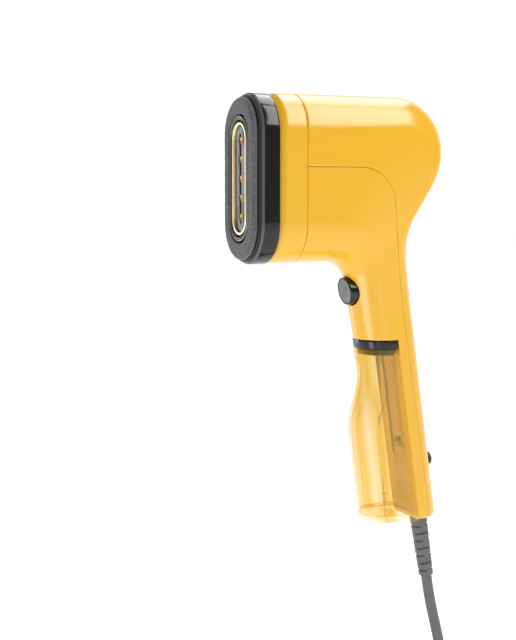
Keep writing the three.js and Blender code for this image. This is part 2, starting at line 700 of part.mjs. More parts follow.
// ---------------------------------------------------------------- mains lead
const RELIEF_LENGTH = 42;
const BEND_RADIUS = 34; // where the hanging lead turns onto the coil
const HANG_X = COIL_CENTRE[0] + COIL_MID_RADIUS;
const TIE_RADIUS = 13.1;
const COIL_Z = COIL_LEVEL + TIE_RADIUS + 0.1;
const ENTRY_Z = COIL_Z + 7; // the lead joins the coil's upper turns
const TAIL_Y = COIL_CENTRE[1] + COIL_MID_RADIUS + 9; // the tail leaves along the coil's outer edge
const TAIL_START = 76; // x where it clears the coil
const PLUG_START = 49; // x of the plug's cord end
const PLUG_Z = COIL_LEVEL + 9;

function strainRelief() {
  const profile = [[0, 5.4], [5.6, 5.4], [5.6, 3.6], [4.6, 3.6], [4.6, -1.2], [5.5, -1.2], [5.5, -6]];
  const ribs = 7;
  const ribPitch = (RELIEF_LENGTH - 6) / ribs;
  for (let k = 0; k < ribs; k += 1) {
    const top = -6 - k * ribPitch;
    const radius = 5.4 - 0.12 * k;
    profile.push([radius - 1.1, top], [radius - 1.1, top - 1.4]);
    profile.push([radius, top - 1.4], [radius, top - ribPitch]);
  }
  profile.push([0, -RELIEF_LENGTH]);
  const points = profile.map(([radius, height]) => new THREE.Vector2(radius, height));
  const sleeve = new THREE.LatheGeometry(points, 20).rotateX(Math.PI / 2);
  return sleeve.rotateY(-RELIEF_LEAN).translate(RELIEF_TOP[0], 0, RELIEF_TOP[1]);
}

function mainsLead() {
  const hanging = [
    reliefPoint(RELIEF_LENGTH + GAP), reliefPoint(RELIEF_LENGTH + 7), [132.6, 0, -275], [135.2, 0, -290],
    [137.4, 0, -305], [139.2, 0, -319], [140.2, 0, -331], [HANG_X, 0, ENTRY_Z + BEND_RADIUS],
  ];
  const lastAngle = THREE.MathUtils.degToRad(50);
  for (let k = 1; k <= 4; k += 1) {
    const angle = (lastAngle * k) / 4;
    hanging.push([
      HANG_X,
      BEND_RADIUS * (1 - Math.cos(angle)),
      ENTRY_Z + BEND_RADIUS * (1 - Math.sin(angle)),
    ]);
  }
  const tail = [
    [TAIL_START, TAIL_Y, COIL_Z + 1], [TAIL_START - 6, TAIL_Y, COIL_Z], [PLUG_START + 6, TAIL_Y, PLUG_Z],
    [PLUG_START + GAP, TAIL_Y, PLUG_Z],
  ];
  const ring = [];
  for (let k = 0; k <= 12; k += 1) {
    const angle = (2 * Math.PI * k) / 12;
    ring.push(
      new THREE.Vector2(Math.cos(angle), Math.sin(angle))
        .multiplyScalar(COIL_BUNDLE_RADIUS)
        .add(new THREE.Vector2(COIL_MID_RADIUS, 0)),
    );
  }
  const coil = new THREE.LatheGeometry(ring, 32).rotateX(Math.PI / 2).translate(...COIL_CENTRE, COIL_Z);
  const tieX = COIL_CENTRE[0] - COIL_MID_RADIUS;
  const tieStart = [tieX, COIL_CENTRE[1] - 6, COIL_Z];
  const tieEnd = [tieX, COIL_CENTRE[1] + 6, COIL_Z];
  const tie = pipe(tieStart, tieEnd, TIE_RADIUS, 12, 24);
  return {
    strain_relief: { geometry: strainRelief(), material: MATERIAL.rubber },
    power_cord: { geometry: hose(hanging, CORD_RADIUS, 0, 12, 10), material: MATERIAL.rubber },
    cord_coil: { geometry: coil, material: MATERIAL.rubber },
    cord_tie: { geometry: tie, material: MATERIAL.satinBlack },
    cord_tail: { geometry: hose(tail, CORD_RADIUS, 0, 5, 10), material: MATERIAL.rubber },
    ...plug(),
  };
}

function plug() {
  const mouldEnd = PLUG_START - 12;
  const bodyEnd = PLUG_START - 36;
  const body = join(
    rod([PLUG_START, TAIL_Y, PLUG_Z], [mouldEnd - 2, TAIL_Y, PLUG_Z], 5, 20, 7.5),
    block([bodyEnd, TAIL_Y - 12, PLUG_Z - 8.5], [mouldEnd, TAIL_Y + 12, PLUG_Z + 8.5]),
  );
  const blade = (side) => {
    const y = TAIL_Y + side * 6.35;
    return block([bodyEnd - 17, y - 0.75, PLUG_Z - 3.15], [bodyEnd - GAP, y + 0.75, PLUG_Z + 3.15]);
  };
  return {
    plug_body: { geometry: body, material: MATERIAL.rubber },
    plug_blade_1: { geometry: blade(-1), material: MATERIAL.brass },
    plug_blade_2: { geometry: blade(1), material: MATERIAL.brass },
  };
}

// ---------------------------------------------------------------- assembly
const group = new THREE.Group();
group.position.set(...GRIP_CENTRE.map((value) => -value));

const shells = Object.fromEntries(
  Object.entries(casing()).map(([name, geometry]) => [name, { geometry, material: MATERIAL.yellow }]),
);
const pieces = {
  ...shells,
  ...steamFace(),
  ...boiler(),
  ...pump(),
  ...plumbing(),
  ...wiring(),
  ...steamButton(),
  ...tankRelease(),
  ...waterTank(),
  ...mainsLead(),
};
for (const [name, { geometry, material }] of Object.entries(pieces)) {
  const outward = toSolid(geometry).volume() < 0 ? flipped(mergeVertices(geometry)) : geometry;
  const mesh = new THREE.Mesh(outward, material);
  mesh.name = name;
  group.add(mesh);
}

export default group;
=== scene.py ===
"""Handheld garment steamer: the visible surfaces, finishes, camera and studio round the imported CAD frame.

Shapes are written in millimetres in the head's own coordinates: x runs back from the bezel's front plane, z
runs up from the middle of the steam face and y runs across. HeadFrame turns them into the row's metres.
"""

import logging
from dataclasses import dataclass, field
from enum import Enum

import bmesh
import bpy
import numpy as np
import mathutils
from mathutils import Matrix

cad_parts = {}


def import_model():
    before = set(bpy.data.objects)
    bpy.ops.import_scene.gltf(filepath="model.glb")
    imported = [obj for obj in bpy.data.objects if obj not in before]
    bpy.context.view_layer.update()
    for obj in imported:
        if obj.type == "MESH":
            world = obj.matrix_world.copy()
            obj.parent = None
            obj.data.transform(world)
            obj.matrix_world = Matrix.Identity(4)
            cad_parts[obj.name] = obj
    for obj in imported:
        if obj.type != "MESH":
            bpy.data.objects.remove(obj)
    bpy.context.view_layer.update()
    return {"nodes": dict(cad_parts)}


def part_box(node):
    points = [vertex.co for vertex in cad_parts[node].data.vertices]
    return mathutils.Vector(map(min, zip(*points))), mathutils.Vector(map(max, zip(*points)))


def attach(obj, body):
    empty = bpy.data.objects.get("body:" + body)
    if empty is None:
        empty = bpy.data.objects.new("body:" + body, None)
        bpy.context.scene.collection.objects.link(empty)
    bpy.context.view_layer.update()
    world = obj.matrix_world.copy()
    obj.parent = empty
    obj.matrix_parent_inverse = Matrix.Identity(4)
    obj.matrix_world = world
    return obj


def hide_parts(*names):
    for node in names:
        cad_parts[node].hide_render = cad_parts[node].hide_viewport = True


LOG = logging.getLogger("steamer")
MM = 0.001
SUFFIX = "_made"  # tells a piece from the CAD node of the same name
SHARP_ANGLE = 38.0  # edges that turn by more degrees are shaded sharp
RIM_REACH = 2e-4  # an open edge this close to the foot, in metres, belongs to it
MERGE_DISTANCE = 1e-6  # points closer than this, in metres, are one

Array = np.ndarray
Object = bpy.types.Object
Material = bpy.types.Material
Socket = bpy.types.NodeSocket
Work = bmesh.types.BMesh
Pair = tuple[float, float]
Vector = tuple[float, float, float]


# ---------------------------------------------------------------------------------------------- helpers
def smoothstep(value: Array | float) -> Array | float:
    """Eases from 0 to 1: 3t squared less 2t cubed, held outside that span."""
    t = np.clip(value, 0.0, 1.0)
    return t * t * (3.0 - 2.0 * t)


class Closing(Enum):
    """How a grid of points joins itself."""

    OPEN = "open"
    AROUND = "around"
    BOTH = "both"


def show(name: str, data: bpy.types.ID) -> Object:
    """Makes an object for some data and links it to the scene."""
    shown = bpy.data.objects.new(name, data)
    bpy.context.scene.collection.objects.link(shown)
    return shown

def shade(mesh: bpy.types.Mesh, sharp: float = SHARP_ANGLE) -> None:
    """Shades a mesh smooth and keeps the edges sharp that turn by more than so many degrees."""
    mesh.shade_smooth()
    mesh.set_sharp_from_angle(angle=np.radians(sharp))

@dataclass(frozen=True)
class HeadFrame:
    """Where the head's coordinates lie in the row frame.

    Args:
        origin: the row-frame place, in metres, of the head's own origin.
    """

    origin: Vector

    @classmethod
    def from_bezel(cls) -> "HeadFrame":
        """Reads the origin from the bezel: its front plane, and the middle of its height and width."""
        low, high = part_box("bezel")
        return cls((low.x, (low.y + high.y) / 2, (low.z + high.z) / 2))

    def place(self, points: Array) -> Array:
        """Turns head millimetres into row metres.

        Args:
            points: an array whose last axis is x, y, z.
        Returns:
            The same array in metres in the row frame.
        """
        return np.asarray(points, float) * MM + np.array(self.origin)

    def shape(self, name: str, grid: Array, closing: Closing = Closing.BOTH, caps: bool = False) -> Object:
        """Makes a grid_object from head millimetres."""
        return grid_object(name, self.place(grid), closing, caps)


def grid_object(name: str, grid: Array, closing: Closing = Closing.OPEN, caps: bool = False) -> Object:
    """Makes a mesh object from rows of points, with four-sided faces between neighbours.

    Args:
        name: the piece's name.
        grid: rows by columns by 3, in row metres.
        closing: AROUND joins the last column to the first, and BOTH joins the rows as well.
        caps: closes the first and last row with a face each.
    Returns:
        The new object, smooth shaded and facing outwards.
    """
    rows, columns = grid.shape[:2]
    index = np.arange(rows * columns).reshape(rows, columns)
    if closing is not Closing.OPEN:
        index = np.concatenate([index, index[:, :1]], axis=1)
    if closing is Closing.BOTH:
        index = np.concatenate([index, index[:1]], axis=0)
    quads = np.stack([index[:-1, :-1], index[:-1, 1:], index[1:, 1:], index[1:, :-1]], axis=-1).reshape(-1, 4)
    faces = quads.tolist()
    if caps:
        faces.append(index[0, :columns].tolist())
        faces.append(index[-1, :columns][::-1].tolist())
    mesh = bpy.data.meshes.new(name)
    mesh.from_pydata(grid.reshape(-1, 3).tolist(), [], faces)
    return finished_object(name, mesh)


def finished_object(name: str, mesh: bpy.types.Mesh) -> Object:
    """Merges doubled points, turns the faces outwards, shades smooth and links the object.

    Args:
        name: the piece's name.
        mesh: the mesh to clean and show.
    Returns:
        The linked object.
    """
    work = bmesh.new()
    work.from_mesh(mesh)
    bmesh.ops.remove_doubles(work, verts=work.verts, dist=MERGE_DISTANCE)
    bmesh.ops.dissolve_degenerate(work, edges=work.edges, dist=MERGE_DISTANCE / 10)
    bmesh.ops.recalc_face_normals(work, faces=work.faces)
    work.to_mesh(mesh)
    work.free()
    shade(mesh)
    return show(name + SUFFIX, mesh)


def bake(piece: Object, sharp: float = SHARP_ANGLE) -> Object:
    """Applies the piece's modifiers to its mesh.

    Args:
        piece: the object to settle.
        sharp: the angle, in degrees, past which an edge is shaded sharp.
    Returns:
        The same object, with no modifiers left.
    """
    depsgraph = bpy.context.evaluated_depsgraph_get()
    settled = bpy.data.meshes.new_from_object(piece.evaluated_get(depsgraph))
    piece.modifiers.clear()
    piece.data = settled
    shade(settled, sharp)
    return piece


def thicken(piece: Object, wall: float) -> None:
    """Gives an open surface a wall that grows inwards.

    Args:
        piece: the open surface.
        wall: its thickness in millimetres.
    """
    solid = piece.modifiers.new("wall", "SOLIDIFY")
    solid.thickness = wall * MM
    solid.offset = -1
    solid.use_even_offset = True


def soften(piece: Object, width: float, angle: float = 50.0) -> Object:
    """Rounds the piece's sharp edges and settles it.

    Args:
        piece: the solid.
        width: the rounding's width in millimetres.
        angle: edges that turn less than this, in degrees, are left alone.
    Returns:
        The same object, with no modifiers left.
    """
    bevel = piece.modifiers.new("edge", "BEVEL")
    bevel.width = width * MM
    bevel.segments = 2
    bevel.limit_method = "ANGLE"
    bevel.angle_limit = np.radians(angle)
    return bake(piece)

def carve(piece: Object, cutter: Object) -> None:
    """Cuts one solid out of another at once.

    Args:
        piece: the solid that is cut.
        cutter: the solid that is taken away; it is removed afterwards.
    """
    cut = piece.modifiers.new("cut", "BOOLEAN")
    cut.operation = "DIFFERENCE"
    cut.solver = "MANIFOLD"
    cut.object = cutter
    bake(piece)
    bpy.data.objects.remove(cutter)


def turned(profile: list[Pair], sides: int) -> Array:
    """A turned shape: each (radius, height) of the profile carried once round Z.

    Args:
        profile: radius and height pairs, in millimetres.
        sides: points round the turn.
    Returns:
        A grid, one row for each point of the profile.
    """
    radius, height = np.array(profile, float).T
    angle = np.linspace(0, 2 * np.pi, sides, endpoint=False)
    level = np.repeat(height[:, None], sides, 1)
    return np.stack([np.outer(radius, np.cos(angle)), np.outer(radius, np.sin(angle)), level], -1)


def turn_about_y(points: Array, degrees: float) -> Array:
    """Turns points about Y by the right-hand rule."""
    angle = np.radians(degrees)
    x, y, z = points[..., 0], points[..., 1], points[..., 2]
    return np.stack([x * np.cos(angle) + z * np.sin(angle), y, z * np.cos(angle) - x * np.sin(angle)], -1)


def rounded_profile(corners: list[Vector], steps: int = 6) -> Array:
    """An outline through corners, each rounded by a quadratic curve between two points a radius away.

    Args:
        corners: (across, along, rounding) in millimetres; the two ends are kept sharp.
        steps: points on each rounding.
    Returns:
        The outline's points, two columns.
    """
    points = [np.array(corners[0][:2])]
    t = np.linspace(0, 1, steps)[:, None]
    for before, here, after in zip(corners[:-2], corners[1:-1], corners[2:]):
        middle = np.array(here[:2])
        to_before = np.array(before[:2]) - middle
        to_after = np.array(after[:2]) - middle
        reach = min(here[2], np.linalg.norm(to_before) * 0.49, np.linalg.norm(to_after) * 0.49)
        start = middle + to_before / np.linalg.norm(to_before) * reach
        end = middle + to_after / np.linalg.norm(to_after) * reach
        points.extend((1 - t) ** 2 * start + 2 * t * (1 - t) * middle + t**2 * end)
    points.append(np.array(corners[-1][:2]))
    return np.array(points)


# ---------------------------------------------------------------------------------------------- finishes
class Tree:
    """A node tree, with short calls for what its users share."""

    def __init__(self, tree: bpy.types.NodeTree) -> None:
        """Takes up a tree."""
        self.tree = tree

    def add(self, kind: str, **settings: object) -> bpy.types.Node:
        """Adds a node and sets its properties."""
        node = self.tree.nodes.new(kind)
        for key, value in settings.items():
            setattr(node, key, value)
        return node

    def link(self, source: Socket, target: Socket) -> None:
        """Links two sockets."""
        self.tree.links.new(source, target)

    def remap(self, source: Socket, start: Pair, end: Pair = (0.0, 1.0), **settings: object) -> Socket:
        """Carries a value from one span over to another, and holds it at both ends."""
        node = self.add("ShaderNodeMapRange", **settings)
        for name, value in zip(("From Min", "From Max", "To Min", "To Max"), (*start, *end)):
            node.inputs[name].default_value = value
        self.link(source, node.inputs["Value"])
        return node.outputs["Result"]

    def measure(self, place: Socket, operation: str, direction: Vector = (0.0, 0.0, 0.0)) -> Socket:
        """The length of a vector, or its dot product with a direction."""
        node = self.add("ShaderNodeVectorMath", operation=operation)
        self.link(place, node.inputs[0])
        node.inputs[1].default_value = direction
        return node.outputs["Value"]


class Nodes(Tree):
    """A material's node tree round a Principled shader."""

    def __init__(self, name: str) -> None:
        """Starts a material with a Principled shader at the end of its tree."""
        self.material = bpy.data.materials.new(name)
        self.material.use_nodes = True
        super().__init__(self.material.node_tree)
        self.tree.nodes.clear()
        self.surface = self.add("ShaderNodeOutputMaterial").inputs["Surface"]
        self.shader = self.add("ShaderNodeBsdfPrincipled")
        self.link(self.shader.outputs["BSDF"], self.surface)
        self.place = self.add("ShaderNodeTexCoord").outputs["Object"]

    def set(self, **values: object) -> None:
        """Sets constants on the Principled shader; underscores in a name stand for spaces."""
        for key, value in values.items():
            self.shader.inputs[key.replace("_", " ")].default_value = value

    def noise(self, scale: float, detail: float, roughness: float = 0.5) -> Socket:
        """A noise of so many waves to the metre, read in object coordinates."""
        node = self.add("ShaderNodeTexNoise")
        for name, value in (("Scale", scale), ("Detail", detail), ("Roughness", roughness)):
            node.inputs[name].default_value = value
        self.link(self.place, node.inputs["Vector"])
        return node.outputs["Fac"]

    def span(self, source: Socket, low: float, high: float) -> Socket:
        """Stretches the middle of a 0 to 1 value between two numbers."""
        return self.remap(source, (0.3, 0.7), (low, high))

    def blend(self, factor: Socket, first: Vector | Socket, second: Vector) -> Socket:
        """Mixes two colours by a value; the first may come from another node."""
        node = self.add("ShaderNodeMix", data_type="RGBA")
        self.link(factor, node.inputs["Factor"])
        if isinstance(first, Socket):
            self.link(first, node.inputs[6])
        else:
            node.inputs[6].default_value = (*first, 1)
        node.inputs[7].default_value = (*second, 1)
        return node.outputs[2]

    def skin(self, colour: Vector, drift: float, gloss: Pair, coarse: Pair, fine: Pair) -> None:
        """Sets a base colour that drifts down by a share, and a roughness between two ends.

        Args:
            colour: the full colour.
            drift: share of it that the drift takes away.
            gloss: low and high ends of the roughness.
            coarse: scale and detail of the colour's noise.
            fine: scale and detail of the roughness's noise.
        """
        dull = tuple(part * (1 - drift) for part in colour)
        self.link(self.blend(self.noise(*coarse), dull, colour), self.shader.inputs["Base Color"])
        self.link(self.span(self.noise(*fine), *gloss), self.shader.inputs["Roughness"])

    def bump(self, height: Socket, distance: float, strength: float = 1.0) -> None:
        """Raises the surface by a height map, its distance in metres."""
        node = self.add("ShaderNodeBump")
        node.inputs["Strength"].default_value = strength
        node.inputs["Distance"].default_value = distance
        self.link(height, node.inputs["Height"])
        self.link(node.outputs["Normal"], self.shader.inputs["Normal"])


@dataclass(frozen=True)
class Moulded:
    """Moulded plastic or rubber: faint colour drift, uneven gloss and a fine skin.

    Args:
        name: the material's name.
        colour: its linear colour.
        roughness: low and high ends of its roughness.
        drift: how far the colour drifts, as a share.
        grain: waves to the metre of the skin.
        depth: height of the skin in metres.
        scatter: how much light passes just under the surface.
        shine: strength of its mirror-like reflection, 0.5 for plain plastic.
    """

    name: str
    colour: Vector
    roughness: Pair = (0.3, 0.36)
    drift: float = 0.04
    grain: float = 900.0
    depth: float = 4e-6
    scatter: float = 0.0
    shine: float = 0.5

    def nodes(self) -> Nodes:
        """Makes the material's nodes."""
        nodes = Nodes(self.name)
        nodes.skin(self.colour, self.drift, self.roughness, (28, 3), (160, 5))
        nodes.bump(nodes.noise(self.grain, 3), self.depth)
        nodes.set(Specular_IOR_Level=self.shine)
        if self.scatter:
            nodes.set(Subsurface_Weight=self.scatter, Subsurface_Scale=0.002)
        return nodes

    def build(self) -> Material:
        """Makes the material."""
        return self.nodes().material


@dataclass(frozen=True)
class Metalwork:
    """A metal: brushed or cast, with drifting roughness.

    Args:
        name: the material's name.
        colour: its linear colour.
        roughness: low and high ends of its roughness.
        grain: waves to the metre of the surface's marks.
        depth: height of the marks in metres.
    """

    name: str
    colour: Vector
    roughness: Pair = (0.25, 0.4)
    grain: float = 1800.0
    depth: float = 3e-6

    def build(self) -> Material:
        """Makes the material."""
        nodes = Nodes(self.name)
        nodes.skin(self.colour, 0.14, self.roughness, (70, 4), (420, 5))
        nodes.bump(nodes.noise(self.grain, 4), self.depth)
        nodes.set(Metallic=1.0)
        return nodes.material


@dataclass(frozen=True)
class Heather:
    """Short-pile textile: dark yarns flecked with light ones, matt and fuzzy.

    Args:
        name: the material's name.
        dark: linear colour of the ground yarns.
        light: linear colour of the flecks.
    """

    name: str
    dark: Vector
    light: Vector

    def build(self) -> Material:
        """Makes the material: two sizes of fleck, a knitted relief and a soft sheen."""
        nodes = Nodes(self.name)
        fleck = nodes.add("ShaderNodeMath", operation="MULTIPLY")
        nodes.link(nodes.span(nodes.noise(2600, 2, 0.7), 0.0, 1.3), fleck.inputs[0])
        nodes.link(nodes.span(nodes.noise(900, 3, 0.6), 0.3, 1.0), fleck.inputs[1])
        nodes.link(nodes.blend(fleck.outputs[0], self.dark, self.light), nodes.shader.inputs["Base Color"])
        nodes.bump(nodes.noise(2200, 3, 0.65), 1.6e-4, 0.8)
        nodes.set(Roughness=0.95, Sheen_Weight=0.25, Sheen_Roughness=0.5, Specular_IOR_Level=0.2)
        return nodes.material


@dataclass(frozen=True)
class TintedClear:
    """Clear plastic with a colour: light goes straight through it and it keeps a glossy skin.

    Args:
        name: the material's name.
        colour: linear colour of what it scatters.
        tints: linear colours of what passes each face, from the front of the piece to its back; a paler tint where
            shade would fall behind is painted light.
        cover: share that is scattered, where the surface is seen square on and at its edges.
        roughness: low and high ends of its roughness.
    """

    name: str
    colour: Vector
    tints: tuple[Vector, ...]
    cover: Pair
    roughness: Pair = (0.06, 0.14)

    def tint(self, nodes: Nodes, places: tuple[float, ...], lean: float) -> Socket:
        """Colour that goes evenly from one tint to the next along a direction leaning with the grip.

        Args:
            nodes: the material's nodes.
            places: where each tint is reached, in metres.
            lean: slope of the grip, x gained for each step down.
        Returns:
            The colour's socket.
        """
        along = nodes.measure(nodes.place, "DOT_PRODUCT", (1, 0, lean))
        colour = nodes.add("ShaderNodeRGB").outputs["Color"]
        colour.default_value = (*self.tints[0], 1)
        for start, end, tint in zip(places, places[1:], self.tints[1:]):
            colour = nodes.blend(nodes.remap(along, (start, end)), colour, tint)
        return colour

    def build(self, places: tuple[float, ...] = (), lean: float = 0.0) -> Material:
        """Makes the material: a tinted transparent part under a moulded part that grows towards the edges.

        Args:
            places: where each tint is reached, in metres.
            lean: slope of the grip.
        Returns:
            The material.
        """
        nodes = Nodes(self.name)
        nodes.skin(self.colour, 0.07, self.roughness, (22, 2), (120, 4))
        nodes.bump(nodes.noise(40, 1), 2e-6)
        clear = nodes.add("ShaderNodeBsdfTransparent")
        nodes.link(self.tint(nodes, places, lean), clear.inputs["Color"])
        facing = nodes.add("ShaderNodeLayerWeight")
        facing.inputs["Blend"].default_value = 0.25
        mix = nodes.add("ShaderNodeMixShader")
        nodes.link(nodes.remap(facing.outputs["Facing"], (0, 1), self.cover), mix.inputs["Fac"])
        nodes.link(clear.outputs["BSDF"], mix.inputs[1])
        nodes.link(nodes.shader.outputs["BSDF"], mix.inputs[2])
        nodes.link(mix.outputs["Shader"], nodes.surface)
        return nodes.material


YELLOW = Moulded("yellow_shell_plastic", (0.86, 0.465, 0.012), (0.2, 0.26), drift=0.03, depth=1.5e-6, shine=0.8)
GLOSS_BLACK = Moulded("gloss_black_plastic", (0.006, 0.006, 0.0065), (0.08, 0.14), drift=0.2, depth=1e-6)
SATIN_BLACK = Moulded("satin_black_plastic", (0.03, 0.031, 0.034), (0.38, 0.5), drift=0.2, grain=1500, depth=8e-6)
# Grey lighter than the satin black of the bezel's lip: a painted highlight along its real crests.
LIP_GREY_HIGHLIGHT = Moulded("lip_grey_painted_highlight", (0.085, 0.086, 0.09), (0.3, 0.4), drift=0.15, grain=1500, depth=5e-6)
TEXTILE = Heather("pad_textile", (0.022, 0.0225, 0.024), (0.24, 0.24, 0.245))
PLATE_GREY = Metalwork("plate_grey_metal", (0.1, 0.103, 0.107), (0.28, 0.42), grain=2600, depth=4e-6)
FRAME_GREY = Metalwork("frame_grey_metal", (0.16, 0.164, 0.17), (0.25, 0.36), grain=2400, depth=3e-6)
PALE_GOLD = Metalwork("pale_gold_trim", (0.95, 0.78, 0.45), (0.3, 0.38), grain=400, depth=3e-7)
BRASS = Metalwork("turned_brass", (1.0, 0.64, 0.17), (0.32, 0.45))
STEEL = Metalwork("plain_steel", (0.5, 0.51, 0.53), (0.25, 0.4))
CAST = Metalwork("cast_aluminium", (0.55, 0.56, 0.58), (0.42, 0.6), grain=700, depth=3e-5)
WINDING = Moulded("copper_winding_tape", (0.5, 0.19, 0.07), (0.4, 0.5), drift=0.2, grain=400, depth=3e-5)
RUBBER = Moulded("lead_rubber", (0.14, 0.14, 0.138), (0.42, 0.52), drift=0.15, grain=2000, depth=1.2e-5)
SEAL = Moulded("black_seal_rubber", (0.008, 0.008, 0.009), (0.5, 0.6), drift=0.2, grain=1500, depth=1e-5)
LATCH_YELLOW = Moulded("latch_plastic", (0.7, 0.36, 0.03), (0.35, 0.45), drift=0.1, depth=4e-6)
SILICONE = Moulded("silicone_hose", (0.72, 0.69, 0.63), (0.4, 0.5), scatter=0.3)
WHITE_PLASTIC = Moulded("heat_resistant_plastic", (0.74, 0.72, 0.67), (0.4, 0.5), grain=1400, depth=1e-5)
SHEATH = Moulded("wire_sheath", (0.6, 0.59, 0.56), (0.35, 0.45))
BOARD = Moulded("circuit_board", (0.03, 0.16, 0.08), (0.35, 0.5), drift=0.3, grain=600, depth=3e-5)
BUTTON_FACE = Moulded("button_face_grey", (0.1, 0.102, 0.108), (0.34, 0.44), drift=0.1, grain=1800, depth=6e-6)
MARK = Moulded("button_mark_black", (0.01, 0.01, 0.011), (0.3, 0.4), drift=0.1)
# Amber from nose to back: pale at the nose, deep in the middle, and pale again at the back. The pale back is painted
# light that lifts the tinted shadow the tank casts on the yellow shell.
AMBER_TINTS_AND_LIGHT = ((0.996, 0.972, 0.93), (0.95, 0.775, 0.36), (0.99, 0.975, 0.91))
AMBER = TintedClear("amber_tank_plastic", (0.97, 0.68, 0.2), AMBER_TINTS_AND_LIGHT, (0.05, 0.36))
CLEAR_HOSE = TintedClear("clear_hose", (0.97, 0.78, 0.4), ((1.0, 0.99, 0.96),), (0.01, 0.1))


def dress(piece: Object, material: Material) -> Object:
    """Gives a piece its one material."""
    piece.data.materials.clear()
    piece.data.materials.append(material)
    return piece


def seat(piece: Object, material: Material, body: str, *nodes: str, slot: str) -> Object:
    """Dresses a piece and ties it to its body and the CAD nodes it stands for.

    Args:
        piece: the finished piece.
        material: its material.
        body: the CAD body it rides on.
        nodes: the CAD nodes it stands for.
        slot: the record's slot for its finish; not used.
    Returns:
        The piece.
    """
    dress(piece, material)
    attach(piece, body)
    if nodes:
        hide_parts(*nodes)
    LOG.info("%s rides on %s and stands for %s", piece.name, body, ", ".join(nodes) or "no node")
    return piece


# ---------------------------------------------------------------------------------------------- casing
@dataclass(frozen=True)
class Leg:
    """One leg of a side profile: straight if its radius is 0, otherwise a bend of so many degrees."""

    length: float = 0.0
    radius: float = 0.0
    turn: float = 0.0

    @property
    def run(self) -> float:
        """The leg's length along the path."""
        return self.length or self.radius * np.radians(abs(self.turn))

    @property
    def curvature(self) -> float:
        """Turn for each millimetre, positive to the left."""
        return np.sign(self.turn) / self.radius if self.radius else 0.0


@dataclass(frozen=True)
class SidePath:
    """A side profile walked from a start point, leg by leg, in x and z."""

    start: Pair
    heading: float
    legs: tuple[Leg, ...]

    def at(self, distance: Array) -> Array:
        """Points at these distances along the path.

        On a bend x is the integral of the heading's cosine and z that of its sine.

        Args:
            distance: millimetres from the start.
        Returns:
            x and z in the last axis.
        """
        distance = np.asarray(distance, float)[..., None]
        point, angle, gone = np.array(self.start), np.radians(self.heading), 0.0
        found = np.zeros(distance.shape[:-1] + (2,))
        for leg in self.legs:
            local, bend = distance - gone, leg.curvature
            if bend:
                later = angle + bend * local
                along = np.concatenate([np.sin(later) - np.sin(angle), np.cos(angle) - np.cos(later)], -1) / bend
            else:
                along = local * np.array([np.cos(angle), np.sin(angle)])
            found = np.where(local >= 0, point + along, found)
            if bend:
                end = angle + bend * leg.run
                point = point + np.array([np.sin(end) - np.sin(angle), np.cos(angle) - np.cos(end)]) / bend
                angle = end
            else:
                point = point + leg.run * np.array([np.cos(angle), np.sin(angle)])
            gone += leg.run
        return found

    def distance_at_level(self, level: float) -> float:
        """How far along the path its last crossing of a height is."""
        reach = np.linspace(0, sum(leg.run for leg in self.legs), 20001)
        above = np.nonzero(self.at(reach)[:, 1] > level)[0][-1]
        return float(reach[above])


@dataclass(frozen=True)
class SeamLine:
    """The parting line between the two shells, seen from the side: level, a bend, then down the grip.

    Args:
        level: height of its level part.
        turn_x: where it starts to turn down.
        radius: radius of that bend.
        end_angle: the bend's last angle in degrees.
        knee: a point of the grip's part.
        foot: the line's last point.
    """

    level: float = 7.2
    turn_x: float = 66.5
    radius: float = 24.0
    end_angle: float = 7.0
    knee: Pair = (104.3, -103.0)
    foot: Pair = (124.5, -227.3)

    def points(self, offset: float) -> Array:
        """The line moved so far towards the back, as points in x and z."""
        turn = np.radians(np.linspace(90, self.end_angle, 40))[:, None]
        bend = np.array([self.turn_x, self.level - self.radius]) + (self.radius + offset) * np.concatenate(
            [np.cos(turn), np.sin(turn)], 1
        )
        start = [[-20.0, self.level + offset]]
        down = [[self.knee[0] + offset, self.knee[1]], [self.foot[0] + offset, self.foot[1]]]
        return np.concatenate([start, bend, down])


